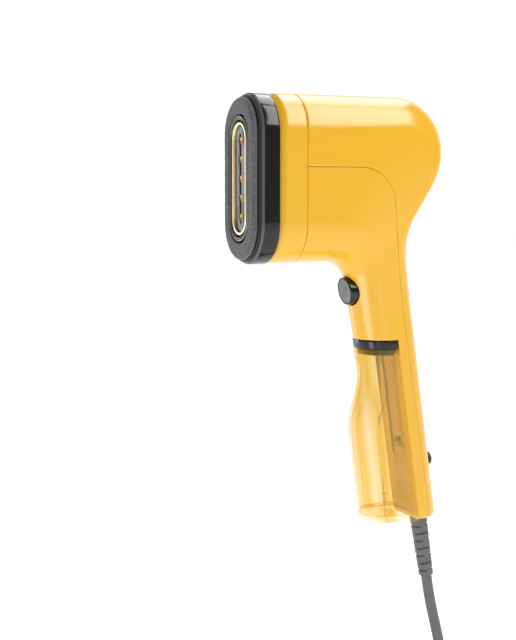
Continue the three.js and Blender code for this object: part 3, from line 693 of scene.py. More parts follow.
@dataclass
class Casing:
    """Collar, front shell and rear shell: one skin lofted between two side profiles, parted at the seam."""

    head: HeadFrame
    wall: float = 2.2
    gap: float = 0.3
    head_half: float = 25.0
    grip_half: float = 16.8
    collar_front: float = 12.0
    collar_back: float = 29.8
    lip_run: float = 4.6
    lip_drop: float = 2.0
    collar_run: float = 18.0
    dock_level: float = -100.2
    bottom_level: float = -217.3
    wall_top_x: float = 97.4
    lean: float = 8.3
    button_level: float = -69.7
    button_bore: float = 9.35
    relief_x: float = 122.9
    relief_bore: float = 4.85
    dock_x: float = 89.0
    dock_bore: float = 8.2
    release_depth: float = 20.0
    release_drop: float = 8.5
    release_bore: float = 4.95
    latch_level: float = -175.0
    nose_share: float = 0.6
    foot_round: float = 4.0
    edge_round: float = 0.18
    seam: SeamLine = field(default_factory=SeamLine)

    def __post_init__(self) -> None:
        """Lays out the two side profiles and the matching distances along them."""
        low = (Leg(40.7), Leg(radius=17, turn=-80), Leg(38), Leg(radius=60, turn=-2.3), Leg(122.5))
        high = (Leg(88.3), Leg(radius=31, turn=-121), Leg(20.4), Leg(radius=58, turn=39.3), Leg(171))
        self.inner = SidePath((self.collar_front, -51.0), 0.6, low)
        self.outer = SidePath((self.collar_front, 51.8), 0.0, high)
        dock = [path.distance_at_level(self.dock_level) for path in (self.inner, self.outer)]
        foot = [path.distance_at_level(self.bottom_level) for path in (self.inner, self.outer)]
        marks = np.array([[0, 0], [self.collar_run] * 2, [40.7, 78], [64.4, 204.3], dock, foot])
        spread = np.array([0.0, 0.35, 1.0, 2.0, 2.85, 4.0])
        self.fine = np.linspace(0, 5, 1001)
        rough = np.stack([np.interp(self.fine, range(6), column) for column in (*marks.T, spread)], 1)
        kernel = np.hanning(121)
        kernel /= kernel.sum()
        eased = np.stack([np.convolve(np.pad(column, 60, mode="edge"), kernel, "valid") for column in rough.T], 1)
        inside = (self.fine > 1.35) & (self.fine < 3.65)
        self.table = np.where(inside[:, None], eased, rough)

    def wall_x(self, level: Array | float) -> Array | float:
        """Depth of the flat wall behind the tank at a height."""
        return self.wall_top_x + (self.dock_level - level) * np.tan(np.radians(self.lean))

    def sections(self, station: Array, inset: float = 0.0) -> dict[str, Array]:
        """Cross-sections at these stations: ends, middle, direction, widths.

        Args:
            station: 0 at the face, 1 behind the collar, 2 and 3 round the bend, 4 at the dock, 5 at the foot.
            inset: how far the section shrinks all round.
        Returns:
            Named arrays with one row for each station.
        """
        near, far, spread = (np.interp(station, self.fine, column) for column in self.table.T)
        low, high = self.inner.at(near), self.outer.at(far)
        change = self.grip_half - self.head_half
        low_half = self.head_half + change * smoothstep((spread - 0.9) / 1.2) - inset
        high_half = self.head_half + change * smoothstep((spread - 1.3) / 1.3) - inset
        span = np.linalg.norm(high - low, axis=-1)
        half = span / 2 - inset
        width = (low_half + high_half) / 2
        return {
            "low": low,
            "high": high,
            "middle": (low + high) / 2,
            "along": (high - low) / span[:, None],
            "span": span,
            "half": half,
            "width": width,
            "flare": (high_half - low_half) / (high_half + low_half),
            "straight": np.maximum(half - width, 0),
            "reach": np.minimum(width, half),
        }

    @staticmethod
    def girth(cut: dict[str, Array], p: Array) -> Array:
        """Distance round the section from its inner tip to where it has the coordinate p."""
        width, straight, reach = cut["width"], cut["straight"], cut["reach"]
        first = width * np.arccos(np.clip((-p - straight) / reach, -1, 1))
        last = width * (np.pi / 2 + np.arcsin(np.clip((p - straight) / reach, -1, 1))) + 2 * straight
        middle = width * np.pi / 2 + p + straight
        return np.where(p < -straight, first, np.where(p > straight, last, middle))

    @staticmethod
    def outline(cut: dict[str, Array], girth: Array, side: Array) -> Array:
        """Points of the section at these distances round it, on the side given by a sign.

        The section is a stadium: a quarter turn, a straight and another quarter turn. Its width grows
        towards the outer end by the flare.
        """
        width, straight, reach, half, flare = (
            cut[name][:, None] for name in ("width", "straight", "reach", "half", "flare")
        )
        quarter = width * np.pi / 2
        first = np.clip(girth / width, 0, np.pi / 2)
        last = np.clip((girth - quarter - 2 * straight) / width, 0, np.pi / 2)
        on_first, on_last = girth < quarter, girth > quarter + 2 * straight
        p = np.where(
            on_first,
            -straight - reach * np.cos(first),
            np.where(on_last, straight + reach * np.sin(last), girth - quarter - straight),
        )
        across = np.where(on_first, width * np.sin(first), np.where(on_last, width * np.cos(last), width))
        across = across * (1 + flare * p / half) * side
        plane = cut["middle"][:, None, :] + cut["along"][:, None, :] * p[..., None]
        return np.stack([plane[..., 0], across, plane[..., 1]], -1)

    def rounded_foot(self, cut: dict[str, Array]) -> dict[str, Array]:
        """Shrinks the last sections so that the foot's edge is a quarter round."""
        size = self.foot_round
        above = np.clip((cut["low"][:, 1] + cut["high"][:, 1]) / 2 - self.bottom_level, 0, size)
        inset = size - np.sqrt(size**2 - (size - above) ** 2)
        cut["half"] = cut["half"] - inset
        cut["width"] = cut["width"] - inset
        cut["straight"] = np.maximum(cut["half"] - cut["width"], 0)
        cut["reach"] = np.minimum(cut["width"], cut["half"])
        return cut

    @staticmethod
    def crossing(cut: dict[str, Array], line: Array) -> Array:
        """Where each section's middle line crosses a line drawn on the side view, as the coordinate p."""
        run = (cut["high"] - cut["low"])[:, None, :]
        step = (line[1:] - line[:-1])[None]
        away = line[None, :-1] - cut["low"][:, None, :]
        turn = run[..., 0] * step[..., 1] - run[..., 1] * step[..., 0]
        turn = np.where(np.abs(turn) < 1e-9, 1e-9, turn)
        share = (away[..., 0] * step[..., 1] - away[..., 1] * step[..., 0]) / turn
        place = (away[..., 0] * run[..., 1] - away[..., 1] * run[..., 0]) / turn
        good = (place > -1e-6) & (place < 1 + 1e-6) & (share > -0.2) & (share < 1.2)
        pick = np.argmax(good, axis=1)
        chosen = np.take_along_axis(share, pick[:, None], 1)[:, 0]
        return (chosen - 0.5) * cut["span"]

    def shell_stations(self) -> Array:
        """Stations of both shells, about 1.6 mm apart on the outer profile, with the dock's twice."""
        parts = [
            np.linspace(1 + self.gap / 2 / self.collar_run, 2, 36, endpoint=False),
            np.linspace(2, 3, 76, endpoint=False),
            np.linspace(3, 4, 30),
            np.linspace(4, 4.955, 40),
            np.linspace(4.962, 5, 14),
        ]
        stations = np.concatenate(parts)
        stations[0] = (self.collar_back + self.gap / 2 - self.collar_front) / self.collar_run
        return stations

    def rear_shell(self) -> Object:
        """The back and top: from the seam over the outer tip to the seam again."""
        cut = self.rounded_foot(self.sections(self.shell_stations()))
        seam = self.girth(cut, self.crossing(cut, self.seam.points(self.gap / 2)))
        total = cut["width"] * np.pi + 2 * cut["straight"]
        v = np.linspace(-1, 1, 97)[None, :]
        girth = total[:, None] - np.abs(v) * (total - seam)[:, None]
        grid = self.outline(cut, girth, np.sign(v))
        shell = self.close_shell("rear_shell", grid)
        self.bore(shell, (self.relief_x, self.bottom_level), self.relief_bore, 9, 0)
        lean = np.radians(self.lean)
        origin = np.array([self.wall_x(self.latch_level), self.latch_level])
        centre = origin + self.release_depth * np.array([np.cos(lean), np.sin(lean)])
        centre = centre + self.release_drop * np.array([np.sin(lean), -np.cos(lean)])
        self.bore(shell, tuple(centre), self.release_bore, 9, 90 - self.lean)
        return soften(shell, self.edge_round)

    def front_shell(self) -> Object:
        """The underside, the grip's front and the flat wall behind the tank."""
        stations = self.shell_stations()
        cut = self.rounded_foot(self.sections(stations))
        seam = self.girth(cut, self.crossing(cut, self.seam.points(-self.gap / 2)))
        dock_row = int(np.nonzero(stations >= 4 - 1e-9)[0][0])
        wall_line = np.array([[self.wall_x(level), level] for level in (self.dock_level + 0.5, -260.0)])
        wall_p = self.crossing(cut, wall_line)
        wall_girth = self.girth(cut, wall_p)
        share = wall_girth[dock_row] / seam[dock_row]
        below = np.arange(len(stations)) > dock_row
        split = np.where(below, wall_girth, share * seam)
        v = np.linspace(-1, 1, 101)[None, :]
        size, side = np.abs(v), np.sign(v)
        nose = np.minimum(size / self.nose_share, 1)
        flank = np.maximum((size - self.nose_share) / (1 - self.nose_share), 0)
        girth = split[:, None] * nose + (seam - split)[:, None] * flank
        grid = self.outline(cut, girth, side)
        flat = np.repeat(self.outline(cut, split[:, None], np.ones((1, 1))), v.size, axis=1)
        flat[..., 1] *= v / self.nose_share
        grid = np.where((below[:, None] & (size < self.nose_share))[..., None], flat, grid)
        shell = self.close_shell("front_shell", grid)
        self.bore(shell, (60.0, self.button_level), self.button_bore, 24, 90)
        self.bore(shell, (self.dock_x, self.dock_level), self.dock_bore, 8, -self.lean)
        self.bore(shell, (self.relief_x, self.bottom_level), self.relief_bore, 9, 0)
        self.latch_slot(shell)
        return soften(shell, self.edge_round)

    def close_shell(self, name: str, grid: Array) -> Object:
        """Makes the skin, closes its foot, and gives it its wall."""
        shell = grid_object(name, self.head.place(grid))
        work = bmesh.new()
        work.from_mesh(shell.data)
        foot = self.head.place(np.array([[0.0, 0.0, self.bottom_level]]))[0, 2]
        open_edges = [edge for edge in work.edges if edge.is_boundary]
        rim = [edge for edge in open_edges if all(abs(vert.co.z - foot) < RIM_REACH for vert in edge.verts)]
        corners = {vert for edge in rim for vert in edge.verts}
        ends = [vert for vert in corners if sum(edge in rim for edge in vert.link_edges) == 1]
        if len(ends) == 2:
            rim.append(work.edges.new(ends))
        bmesh.ops.contextual_create(work, geom=rim)
        bmesh.ops.recalc_face_normals(work, faces=work.faces)
        if self.points_inward(work):
            bmesh.ops.reverse_faces(work, faces=work.faces)
        work.to_mesh(shell.data)
        work.free()
        thicken(shell, self.wall)
        return bake(shell)

    @staticmethod
    def points_inward(work: Work) -> bool:
        """True if the open skin's faces look towards the middle of the body."""
        score = sum(face.calc_area() * face.normal.y * np.sign(face.calc_center_median().y)
                    for face in work.faces if abs(face.normal.y) > 0.8)
        return score < 0

    def bore(self, shell: Object, centre: Pair, radius: float, reach: float, tilt: float) -> None:
        """Cuts a round hole through the shell.

        Args:
            shell: the shell.
            centre: x and z of the hole's middle.
            radius: its radius.
            reach: how far the cutter goes each way.
            tilt: turn of the hole's axis from upright, about Y.
        """
        profile = [(0, -reach), (radius, -reach), (radius, reach), (0, reach)]
        grid = turn_about_y(turned(profile, 56), tilt) + np.array([centre[0], 0, centre[1]])
        carve(shell, self.head.shape("cutter", grid, Closing.AROUND))

    def latch_slot(self, shell: Object) -> None:
        """Cuts the slot that the latch's tooth passes through."""
        corners = ((-4, -4.3), (4, -4.3), (4, 3.3), (-4, 3.3))
        grid = np.array([[[x, y, z] for x, y in corners] for z in (4.0, 10.5)])
        grid = turn_about_y(grid, -self.lean) + np.array([self.wall_x(self.latch_level), 0, self.latch_level])
        carve(shell, self.head.shape("cutter", grid, Closing.AROUND, caps=True))

    def collar(self) -> Object:
        """The yellow ring behind the bezel, with a rounded front lip."""
        share = np.linspace(0, 1, 14)
        lip_x = self.collar_front + self.lip_run * share
        lip_inset = np.interp(share, [0, 0.72, 0.82, 0.91, 1], np.array([1, 0.2, 0.1, 0.03, 0]) * self.lip_drop)
        end = self.collar_back - self.gap / 2
        body_x = np.linspace(self.collar_front + self.lip_run + 1.5, end - 0.3, 8)
        back_x = np.array([end - 0.1, end, end, self.collar_front + 2, self.collar_front, self.collar_front])
        back_inset = np.array([0.1, 0.3, self.wall, self.wall, self.wall, self.lip_drop + 0.4])
        x = np.concatenate([lip_x, body_x, back_x])
        inset = np.concatenate([lip_inset, np.zeros(8), back_inset])
        v = np.linspace(0, 2, 160, endpoint=False)[None, :]
        rows = []
        for depth, drop in zip(x, inset):
            cut = self.sections(np.array([(depth - self.collar_front) / self.collar_run]), drop)
            total = (cut["width"] * np.pi + 2 * cut["straight"])[:, None]
            rows.append(self.outline(cut, total * np.minimum(v, 2 - v), np.where(v < 1, 1.0, -1.0))[0])
        return self.head.shape("front_collar", np.array(rows))

    def build(self) -> None:
        """Makes the three pieces and finishes them in yellow."""
        material = YELLOW.build()
        shells = {"front_collar": self.collar(), "front_shell": self.front_shell(), "rear_shell": self.rear_shell()}
        for node, piece in shells.items():
            seat(piece, material, "root", node, slot="yellow_shell")


# ---------------------------------------------------------------------------------------------- steam face
@dataclass(frozen=True)
class StadiumRing:
    """A band between two upright stadiums: its shape is a profile carried round them.

    Args:
        outer: width and height of the outer stadium.
        inner: width and height of the inner one.
        columns: points in each of the four parts of the way round.
    """

    outer: Pair
    inner: Pair
    columns: int = 30

    @staticmethod
    def around(size: Pair, columns: int) -> Array:
        """Points round a stadium as y and z, starting on the near side: half turn, side, half turn, side."""
        radius, straight = size[0] / 2, (size[1] - size[0]) / 2
        turn = np.linspace(0, np.pi, columns, endpoint=False)
        rise = np.linspace(straight, -straight, columns, endpoint=False)
        top = np.stack([-radius * np.cos(turn), straight + radius * np.sin(turn)], 1)
        far = np.stack([np.full(columns, radius), rise], 1)
        return np.concatenate([top, far, -top, -far])

    def grid(self, profile: list[Vector]) -> Array:
        """Carries a profile round the band.

        Args:
            profile: (share of the way inwards, inset in millimetres, x) for each row.
        Returns:
            A grid in head millimetres.
        """
        rows = []
        for share, inset, x in profile:
            outer = self.around((self.outer[0] - 2 * inset, self.outer[1] - 2 * inset), self.columns)
            inner = self.around((self.inner[0] - 2 * inset, self.inner[1] - 2 * inset), self.columns)
            place = outer * (1 - share) + inner * share
            rows.append(np.concatenate([np.full((len(place), 1), x), place], 1))
        return np.array(rows)


@dataclass
class SteamFace:
    """Bezel, textile pad on its carrier, metal rings and the plate with its five nozzles."""

    head: HeadFrame
    bezel_size: Pair = (50.0, 103.0)
    bezel_depth: float = 11.7
    opening: Pair = (31.0, 79.0)
    carrier_size: Pair = (47.4, 100.4)
    pad_outer: Pair = (44.8, 97.8)
    pad_inner: Pair = (29.4, 77.4)
    pad_front: float = -5.0
    pad_back: float = -1.9
    frame_outer: Pair = (27.4, 75.0)
    frame_inner: Pair = (23.0, 70.6)
    frame_front: float = -4.7
    ring_front: float = -4.4
    ring_outer: Pair = (20.0, 67.6)
    ring_inner: Pair = (16.8, 64.4)
    seal_outer: Pair = (22.4, 70.0)
    seal_inner: Pair = (20.6, 68.2)
    plate_size: Pair = (16.0, 63.6)
    plate_front: float = -3.2
    plate_back: float = 3.0
    holes: int = 5
    hole_pitch: float = 11.5
    hole_radius: float = 2.2

    def band(self, name: str, outer: Pair, inner: Pair, profile: list[Vector],
             columns: int = 30) -> Object:
        """Makes a closed band from a profile."""
        grid = StadiumRing(outer, inner, columns).grid(profile)
        return self.head.shape(name, grid)

    def bezel(self) -> Object:
        """Deep glossy band with a rounded front edge and a seat for the pad's carrier."""
        depth = self.bezel_depth
        profile = [(0, 0.9, depth), (0, 0.35, depth - 0.15), (0, 0.1, depth - 0.5), (0, 0, depth - 1.2), (0, 0, 6.0),
                   (0, 0, 2.2), (0, 0.06, 1.75), (0, 0.25, 1.6), (0, 1.1, 1.6), (0, 1.8, 0.4), (0, 2.2, 0),
                   (0.3, 0, 0), (0.96, 0, 0), (1, 0, 0.3), (1, 0, 3.6), (1, -2.5, 3.6), (0.5, 0, 6.0), (0.32, 0, 6.0),
                   (0.32, 0, depth)]
        return self.band("bezel", self.bezel_size, self.opening, profile, 44)

    def lip(self) -> Object:
        """Satin ring set in the bezel's front edge: two fine crests with a groove between them; its grey is a painted
        highlight on a black edge.
        """
        profile = [(0, 1.05, 1.55), (0, 0.12, 1.55), (0, 0.06, 1.4), (0, 0.1, 1.2), (0, 0.3, 1.0), (0, 0.42, 0.86),
                   (0, 0.48, 0.7), (0, 0.56, 0.5), (0, 0.8, 0.2), (0, 1.1, 0.03), (0, 1.4, 0.0), (0, 2.05, 0.02),
                   (0, 2.05, 0.25), (0, 1.7, 0.45)]
        return self.band("bezel_lip", self.bezel_size, self.opening, profile, 44)

    def carrier(self) -> Object:
        """Thin frame that holds the pad, its edges rounded."""
        profile = [(0, 0.1, -0.3), (0, 0, -0.5), (0, 0.05, -0.9), (0, 0.3, -1.3), (0, 0.7, -1.55), (0, 1.15, -1.6),
                   (0.2, 0, -1.6), (0.97, 0, -1.6), (1, 0, -1.4), (1, 0, -0.3)]
        return self.band("pad_carrier", self.carrier_size, self.opening, profile, 44)

    def pad(self) -> Object:
        """Raised textile ring: flat crown with round shoulders, and a fibre relief of a tenth of a millimetre.

        The relief is seeded noise smoothed along the ring, so that it reads as pile.
        """
        crown = self.pad_front
        deep = self.pad_back - crown
        turn = np.radians(np.linspace(0, 90, 9))
        shoulder = [(0.0, 0.35, self.pad_back), (0.0, 0.08, self.pad_back - 0.3)]
        side = [(0.2 * (1 - np.cos(a)), 0.0, self.pad_back - 0.5 - (deep - 0.72) * np.sin(a)) for a in turn]
        top = [(s, 0.0, crown + 0.12 * (2 * s - 1.1) ** 2) for s in np.linspace(0.24, 0.86, 26)]
        inner = [(0.9 + 0.1 * np.sin(a), 0.0, crown + 0.1 + (deep - 0.9) * (1 - np.cos(a))) for a in turn]
        back = [(1.0, 0.0, self.pad_back - 0.1), (0.8, 0.0, self.pad_back), (0.4, 0.0, self.pad_back)]
        grid = StadiumRing(self.pad_outer, self.pad_inner, 110).grid(shoulder + side + top + inner + back)
        noise = np.random.default_rng(7).normal(size=grid.shape[:2])
        noise = (noise + np.roll(noise, 1, 0) + np.roll(noise, 1, 1) + np.roll(noise, -1, 1)) / 4
        rows = np.arange(len(grid))[:, None]
        shown = (rows > 2) & (rows < len(shoulder + side + top + inner) - 2)
        grid[..., 0] += np.where(shown, 0.11 * noise, 0)
        return self.head.shape("fabric_pad", grid)

    def frame(self) -> Object:
        """Thin metal frame with two ridges and a groove between them."""
        profile = [(0, 0, 7.6), (0, 0, 2.8), (0.03, 0, 2.35), (0.12, 0, 2.14), (0.24, 0, 2.1), (0.36, 0, 2.2),
                   (0.44, 0, 2.7), (0.5, 0, 3.0), (0.58, 0, 3.0), (0.63, 0, 2.7), (0.7, 0, 2.3), (0.8, 0, 2.18),
                   (0.92, 0, 2.3), (1, 0, 2.7), (1, 0, 7.6)]
        profile = [(share, inset, x + self.frame_front - 2.1) for share, inset, x in profile]
        return self.band("plate_frame", self.frame_outer, self.frame_inner, profile, 40)

    def ring(self) -> Object:
        """Thin pale metal ring that stands proud of the plate, its edges rounded."""
        front = self.ring_front
        profile = [(0, 0, 3), (0, 0, front + 0.5), (0.05, 0, front + 0.18), (0.16, 0, front), (0.3, 0, front + 0.02),
                   (0.7, 0, front + 0.02), (0.9, 0, front + 0.16), (1, 0, front + 0.5), (1, 0, 3)]
        return self.band("plate_ring", self.ring_outer, self.ring_inner, profile, 40)

    def seal(self) -> Object:
        """Black ring in the gap."""
        return self.band("plate_seal", self.seal_outer, self.seal_inner,
                         [(0, 0, 3), (0, 0, -2.8), (0.2, 0, -3.0), (0.8, 0, -3.0), (1, 0, -2.8), (1, 0, 3)])

    def plate(self) -> Object:
        """The plate with its long groove and five holes, edges softened."""
        front, back = self.plate_front, self.plate_back
        rows = [(0, 0, back), (0, 0, front + 0.5), (0, 0.12, front + 0.15), (0, 0.4, front)]
        grid = StadiumRing(self.plate_size, self.plate_size, 36).grid(rows)
        plate = self.head.shape("soleplate", grid, Closing.AROUND, caps=True)
        groove = StadiumRing((2.2, 54.0), (2.2, 54.0), 10).grid([(0, 0, front - 1), (0, 0, front + 0.9)])
        carve(plate, self.head.shape("cutter", groove, Closing.AROUND, caps=True))
        profile = [(0, -6), (self.hole_radius, -6), (self.hole_radius, 6), (0, 6)]
        for level in self.hole_levels():
            grid = turn_about_y(turned(profile, 40), 90) + np.array([0, 0, level])
            carve(plate, self.head.shape("cutter", grid, Closing.AROUND))
        return soften(plate, 0.16, 40)

    def hole_levels(self) -> list[float]:
        """Heights of the nozzles, from the highest down."""
        middle = (self.holes - 1) / 2
        return [(middle - k) * self.hole_pitch for k in range(self.holes)]

    def nozzle(self, order: int, level: float) -> Object:
        """A short turned tube with a funnel mouth."""
        mouth = self.plate_front + 0.4
        profile = [(1.9, 5.5), (2.05, mouth + 0.3), (2.02, mouth + 0.08), (1.93, mouth), (1.8, mouth + 0.05),
                   (1.2, mouth + 1.3), (1.1, mouth + 1.8), (1.1, 5.5)]
        grid = turned(profile, 32)
        grid = np.stack([grid[..., 2], grid[..., 0], grid[..., 1] + level], -1)
        return self.head.shape(f"steam_nozzle_{order}", grid)

    def build(self) -> None:
        """Makes and finishes every piece of the face."""
        brass = BRASS.build()
        seat(self.bezel(), GLOSS_BLACK.build(), "root", "bezel", slot="gloss_black")
        # the lip's grey is a painted highlight on the crests of a black edge
        seat(self.lip(), LIP_GREY_HIGHLIGHT.build(), "root", slot="satin_black")
        seat(self.carrier(), SEAL.build(), "pad", "pad_carrier", slot="satin_black")
        pad = seat(self.pad(), TEXTILE.build(), "pad", "fabric_pad", slot="textile")
        seat(self.frame(), FRAME_GREY.build(), "root", "plate_frame", slot="plate_grey")
        seat(self.seal(), SEAL.build(), "root", "plate_seal", slot="black_rubber")
        seat(self.ring(), PALE_GOLD.build(), "root", "plate_ring", slot="gold_trim")
        seat(self.plate(), PLATE_GREY.build(), "root", "soleplate", slot="plate_grey")
        for order, level in enumerate(self.hole_levels(), 1):
            seat(self.nozzle(order, level), brass, "root", f"steam_nozzle_{order}", slot="brass")


# ---------------------------------------------------------------------------------------------- button
@dataclass
class SteamButton:
    """Round push button on the grip: black body, grey dished face and a plain steam mark."""

    head: HeadFrame
    face_x: float = 67.5
    level: float = -69.7
    slant: float = 10.6
    radius: float = 8.75
    face_radius: float = 7.75
    stroke_width: float = 0.9
    stroke_height: float = 4.6

    def place(self, across: Array, up: Array, depth: Array) -> Array:
        """Points on the button: the face leans, so depth is counted along x from the slanted plane."""
        x = self.face_x + depth - up * np.tan(np.radians(self.slant))
        return self.head.place(np.stack([x, across, up + self.level], -1))

    def turned_piece(self, name: str, profile: list[Pair]) -> Object:
        """A piece turned about the button's axis, from (radius, depth) pairs."""
        grid = turned(profile, 72)
        return grid_object(name, self.place(grid[..., 0], grid[..., 1], grid[..., 2]), Closing.AROUND)

    def body(self) -> Object:
        """Black body with a rounded rim, flange and stem."""
        edge = self.radius
        profile = [(0, 1.3), (7.8, 1.3), (7.85, 0.5), (7.95, 0.22), (8.15, 0.06), (8.35, 0.1), (8.58, 0.32), (8.7, 0.7),
                   (edge, 1.3), (edge, 4), (edge, 10.6), (edge + 1.4, 10.6), (edge + 1.4, 12), (2.4, 12), (2.4, 18.7),
                   (0, 18.7)]
        return self.turned_piece("steam_button", profile)

    def face(self) -> Object:
        """Grey disc, dished by a quarter of a millimetre."""
        reach = np.linspace(0, self.face_radius - 0.35, 12)
        dish = [(r, 0.5 - 0.25 * (r / self.face_radius) ** 2) for r in reach]
        rim = [(self.face_radius - 0.12, 0.3), (self.face_radius, 0.5), (self.face_radius, 1.25), (0, 1.25)]
        return self.turned_piece("button_face", dish + rim)

    def mark(self) -> Object:
        """Three rising wavy strokes over a bar, as thin raised ribbons: across is a sine of the height."""
        work = bmesh.new()
        along = np.linspace(-1, 1, 26)
        for centre in (-2.2, 0.0, 2.2):
            middle = centre + 0.42 * np.sin(along * np.pi * 1.25)
            up = 0.75 + along * self.stroke_height / 2
            self.ribbon(work, middle, up, self.stroke_width * (1 - 0.35 * along**4))
        bar = np.linspace(-2.9, 2.9, 12)
        self.ribbon(work, bar, np.full(12, -2.9), np.full(12, self.stroke_width), level=True)
        mesh = bpy.data.meshes.new("button_mark")
        work.to_mesh(mesh)
        work.free()
        return finished_object("button_mark", mesh)

    def ribbon(self, work: Work, across: Array, up: Array, width: Array, level: bool = False) -> None:
        """Adds one closed ribbon that follows the face's dish."""
        shift = (np.zeros_like(width), width / 2) if level else (width / 2, np.zeros_like(width))
        corners = []
        for sign, lift in ((-1, 0.03), (1, 0.03), (1, -0.25), (-1, -0.25)):
            y, z = across + sign * shift[0], up + sign * shift[1]
            depth = 0.5 - 0.25 * (y**2 + z**2) / self.face_radius**2 - lift
            corners.append(self.place(y, z, depth))
        rings = [[work.verts.new(corner[k]) for corner in corners] for k in range(len(across))]
        for first, second in zip(rings[:-1], rings[1:]):
            for k in range(4):
                work.faces.new((first[k], first[(k + 1) % 4], second[(k + 1) % 4], second[k]))
        work.faces.new(rings[0][::-1])
        work.faces.new(rings[-1])

    def build(self) -> None:
        """Makes and finishes the button's three pieces."""
        seat(self.body(), GLOSS_BLACK.build(), "button", "steam_button", slot="button_grey")
        seat(self.face(), BUTTON_FACE.build(), "button", slot="button_grey")
        seat(self.mark(), MARK.build(), "button", slot="button_grey")


# ---------------------------------------------------------------------------------------------- tank
@dataclass
class WaterTank:
    """Clear amber tank: round nose, a crease on each flank, black top band, base with a lip."""

    head: HeadFrame
    casing: Casing
    gap: float = 0.3
    wall: float = 1.8
    front_x: float = 76.4
    bulge: float = 12.6
    bulge_top: float = -120.0
    bulge_span: float = 41.0
    top: float = -106.5
    floor: float = -213.2
    foot: float = -217.3
    nose_half: float = 14.4
    flank_half: float = 16.6
    crease_depth: float = 6.5
    bead: float = 0.28
    nose_depths: tuple[tuple[float, ...], tuple[float, ...]] = (
        (106, 111, 118, 126, 133, 140, 148, 156, 170, 190, 217),
        (8.4, 8.5, 9.8, 12.2, 13.6, 13.8, 13.2, 12.4, 12.0, 11.6, 11.1),
    )
    nose_steps: int = 60
    neck_radius: float = 6.2
    crease_angle: float = 5.5
    # depths in front of the back wall where the amber reaches each tint; the last, pale one is painted light
    tint_and_light_depths: Vector = (30.0, 19.0, 13.0)
    neck_bore: float = 2.5

    def ring(self, level: float, inset: float = 0.0) -> Array:
        """One level of the tank: half an ellipse at the nose, straight flanks with a crease, a flat back.

        Args:
            level: its height.
            inset: how far it shrinks all round.
        Returns:
            A closed row of points.
        """
        swell = smoothstep((self.bulge_top - level) / self.bulge_span)
        back = self.casing.wall_x(level) - self.gap
        lean = np.tan(np.radians(self.casing.lean))
        front = self.front_x + (self.casing.dock_level - level) * lean - self.bulge * swell
        nose_end = front + np.interp(-level, *self.nose_depths)
        near, half = self.nose_half - inset, self.flank_half - inset
        turn = np.linspace(0, np.pi, self.nose_steps + 1)
        nose = np.stack([nose_end - (nose_end - front - inset) * np.sin(turn), -near * np.cos(turn)], 1)
        crease = back - self.crease_depth
        share = np.linspace(0, 1, 9)[1:-1]
        widened = near + share * (self.flank_half - self.nose_half)
        flank = np.stack([nose_end + share * (crease - nose_end), widened], 1)
        corner = np.array([[crease - 0.25, half - 0.02], [crease + 0.25, half], [back - inset - 0.8, half - 0.15],
                           [back - inset - 0.25, half - 0.4], [back - inset, half - 0.95]])
        rise = np.array([0, 1, 1, 0]) * (self.bead if inset < 0.1 else 0)
        bead = np.stack([nose_end + np.array([-0.35, -0.12, 0.12, 0.4]), near + rise], 1)
        side = np.concatenate([bead, flank, corner])
        outline = np.concatenate([nose, side, side[::-1] * [1, -1]])
        return np.concatenate([outline, np.full((len(outline), 1), level)], 1)

    def stack(self, levels: list[Pair]) -> Array:
        """Rings at these (level, inset) pairs."""
        return np.array([self.ring(level, inset) for level, inset in levels])

    def tub(self) -> Object:
        """The open tube of the tank, with a real wall."""
        levels = np.linspace(self.top - 0.4, self.floor + 0.4, 100)
        outer = [(self.top, 0.35)] + [(level, 0.0) for level in levels] + [(self.floor, 0.3)]
        inner = [(self.floor, self.wall)] + [(level, self.wall) for level in levels[::-1]] + [(self.top, self.wall)]
        tub = self.head.shape("water_tank", self.stack(outer + inner))
        carve(tub, self.channel_box(-3, 1.8, -177, -90, 5))
        return bake(tub, self.crease_angle)

    def channel_box(self, near: float, far: float, low: float, high: float, half: float) -> Object:
        """A leaning block along the back of the tank, for cutting the latch's channel."""
        corners = [(far, low), (near, low), (near, high), (far, high)]
        points = [[self.casing.wall_x(z) - depth, z] for depth, z in corners]
        grid = np.array([[[x, y, z] for x, z in points] for y in (-half, half)])
        return self.head.shape("cutter", grid, Closing.AROUND, caps=True)

    def base(self) -> Object:
        """Base plate with a rounded lip and a spigot inside the tub."""
        top = self.floor - self.gap
        floor, foot, wall = self.floor, self.foot, self.wall
        outer = [(floor + 2.4, wall + 1.2), (floor + 2.4, wall + 0.5), (floor + 2.1, wall + 0.32), (top, wall + 0.32),
                 (top, 0.3), (top - 0.25, 0.0), (top - 1.4, 0.0), (top - 1.7, -0.3), (top - 2.2, -0.45),
                 (foot + 0.7, -0.4), (foot + 0.25, -0.1), (foot, 0.5), (foot, 3.0)]
        return self.head.shape("tank_base", self.stack(outer), Closing.AROUND, caps=True)

    def band(self) -> Object:
        """Black band between the grip and the tank, edges rounded."""
        top, low = self.casing.dock_level - self.gap, self.top + self.gap
        levels = [(top, 3.0), (top, 0.6), (top - 0.12, 0.25), (top - 0.45, 0.05), (top - 1.0, 0.0), (low + 0.6, 0.0),
                  (low + 0.25, 0.1), (low, 0.45), (low, self.wall + 0.4), (self.top - 3.5, self.wall + 0.4),
                  (self.top - 3.5, self.wall + 3)]
        band = self.head.shape("tank_collar", self.stack(levels), Closing.AROUND, caps=True)
        carve(band, self.channel_box(-3, 2.5, -177, -90, 5))
        bore = self.neck_radius - 0.2
        carve(band, self.lathe("cutter", [(0, -20), (bore, -20), (bore, 20), (0, 20)]))
        return soften(band, 0.15)

    def lathe(self, name: str, profile: list[Pair], closing: Closing = Closing.AROUND) -> Object:
        """A turned piece on the dock's leaning axis."""
        dock = np.array([self.casing.dock_x, 0, self.casing.dock_level])
        grid = turn_about_y(turned(profile, 56), -self.casing.lean) + dock
        return self.head.shape(name, grid, closing)

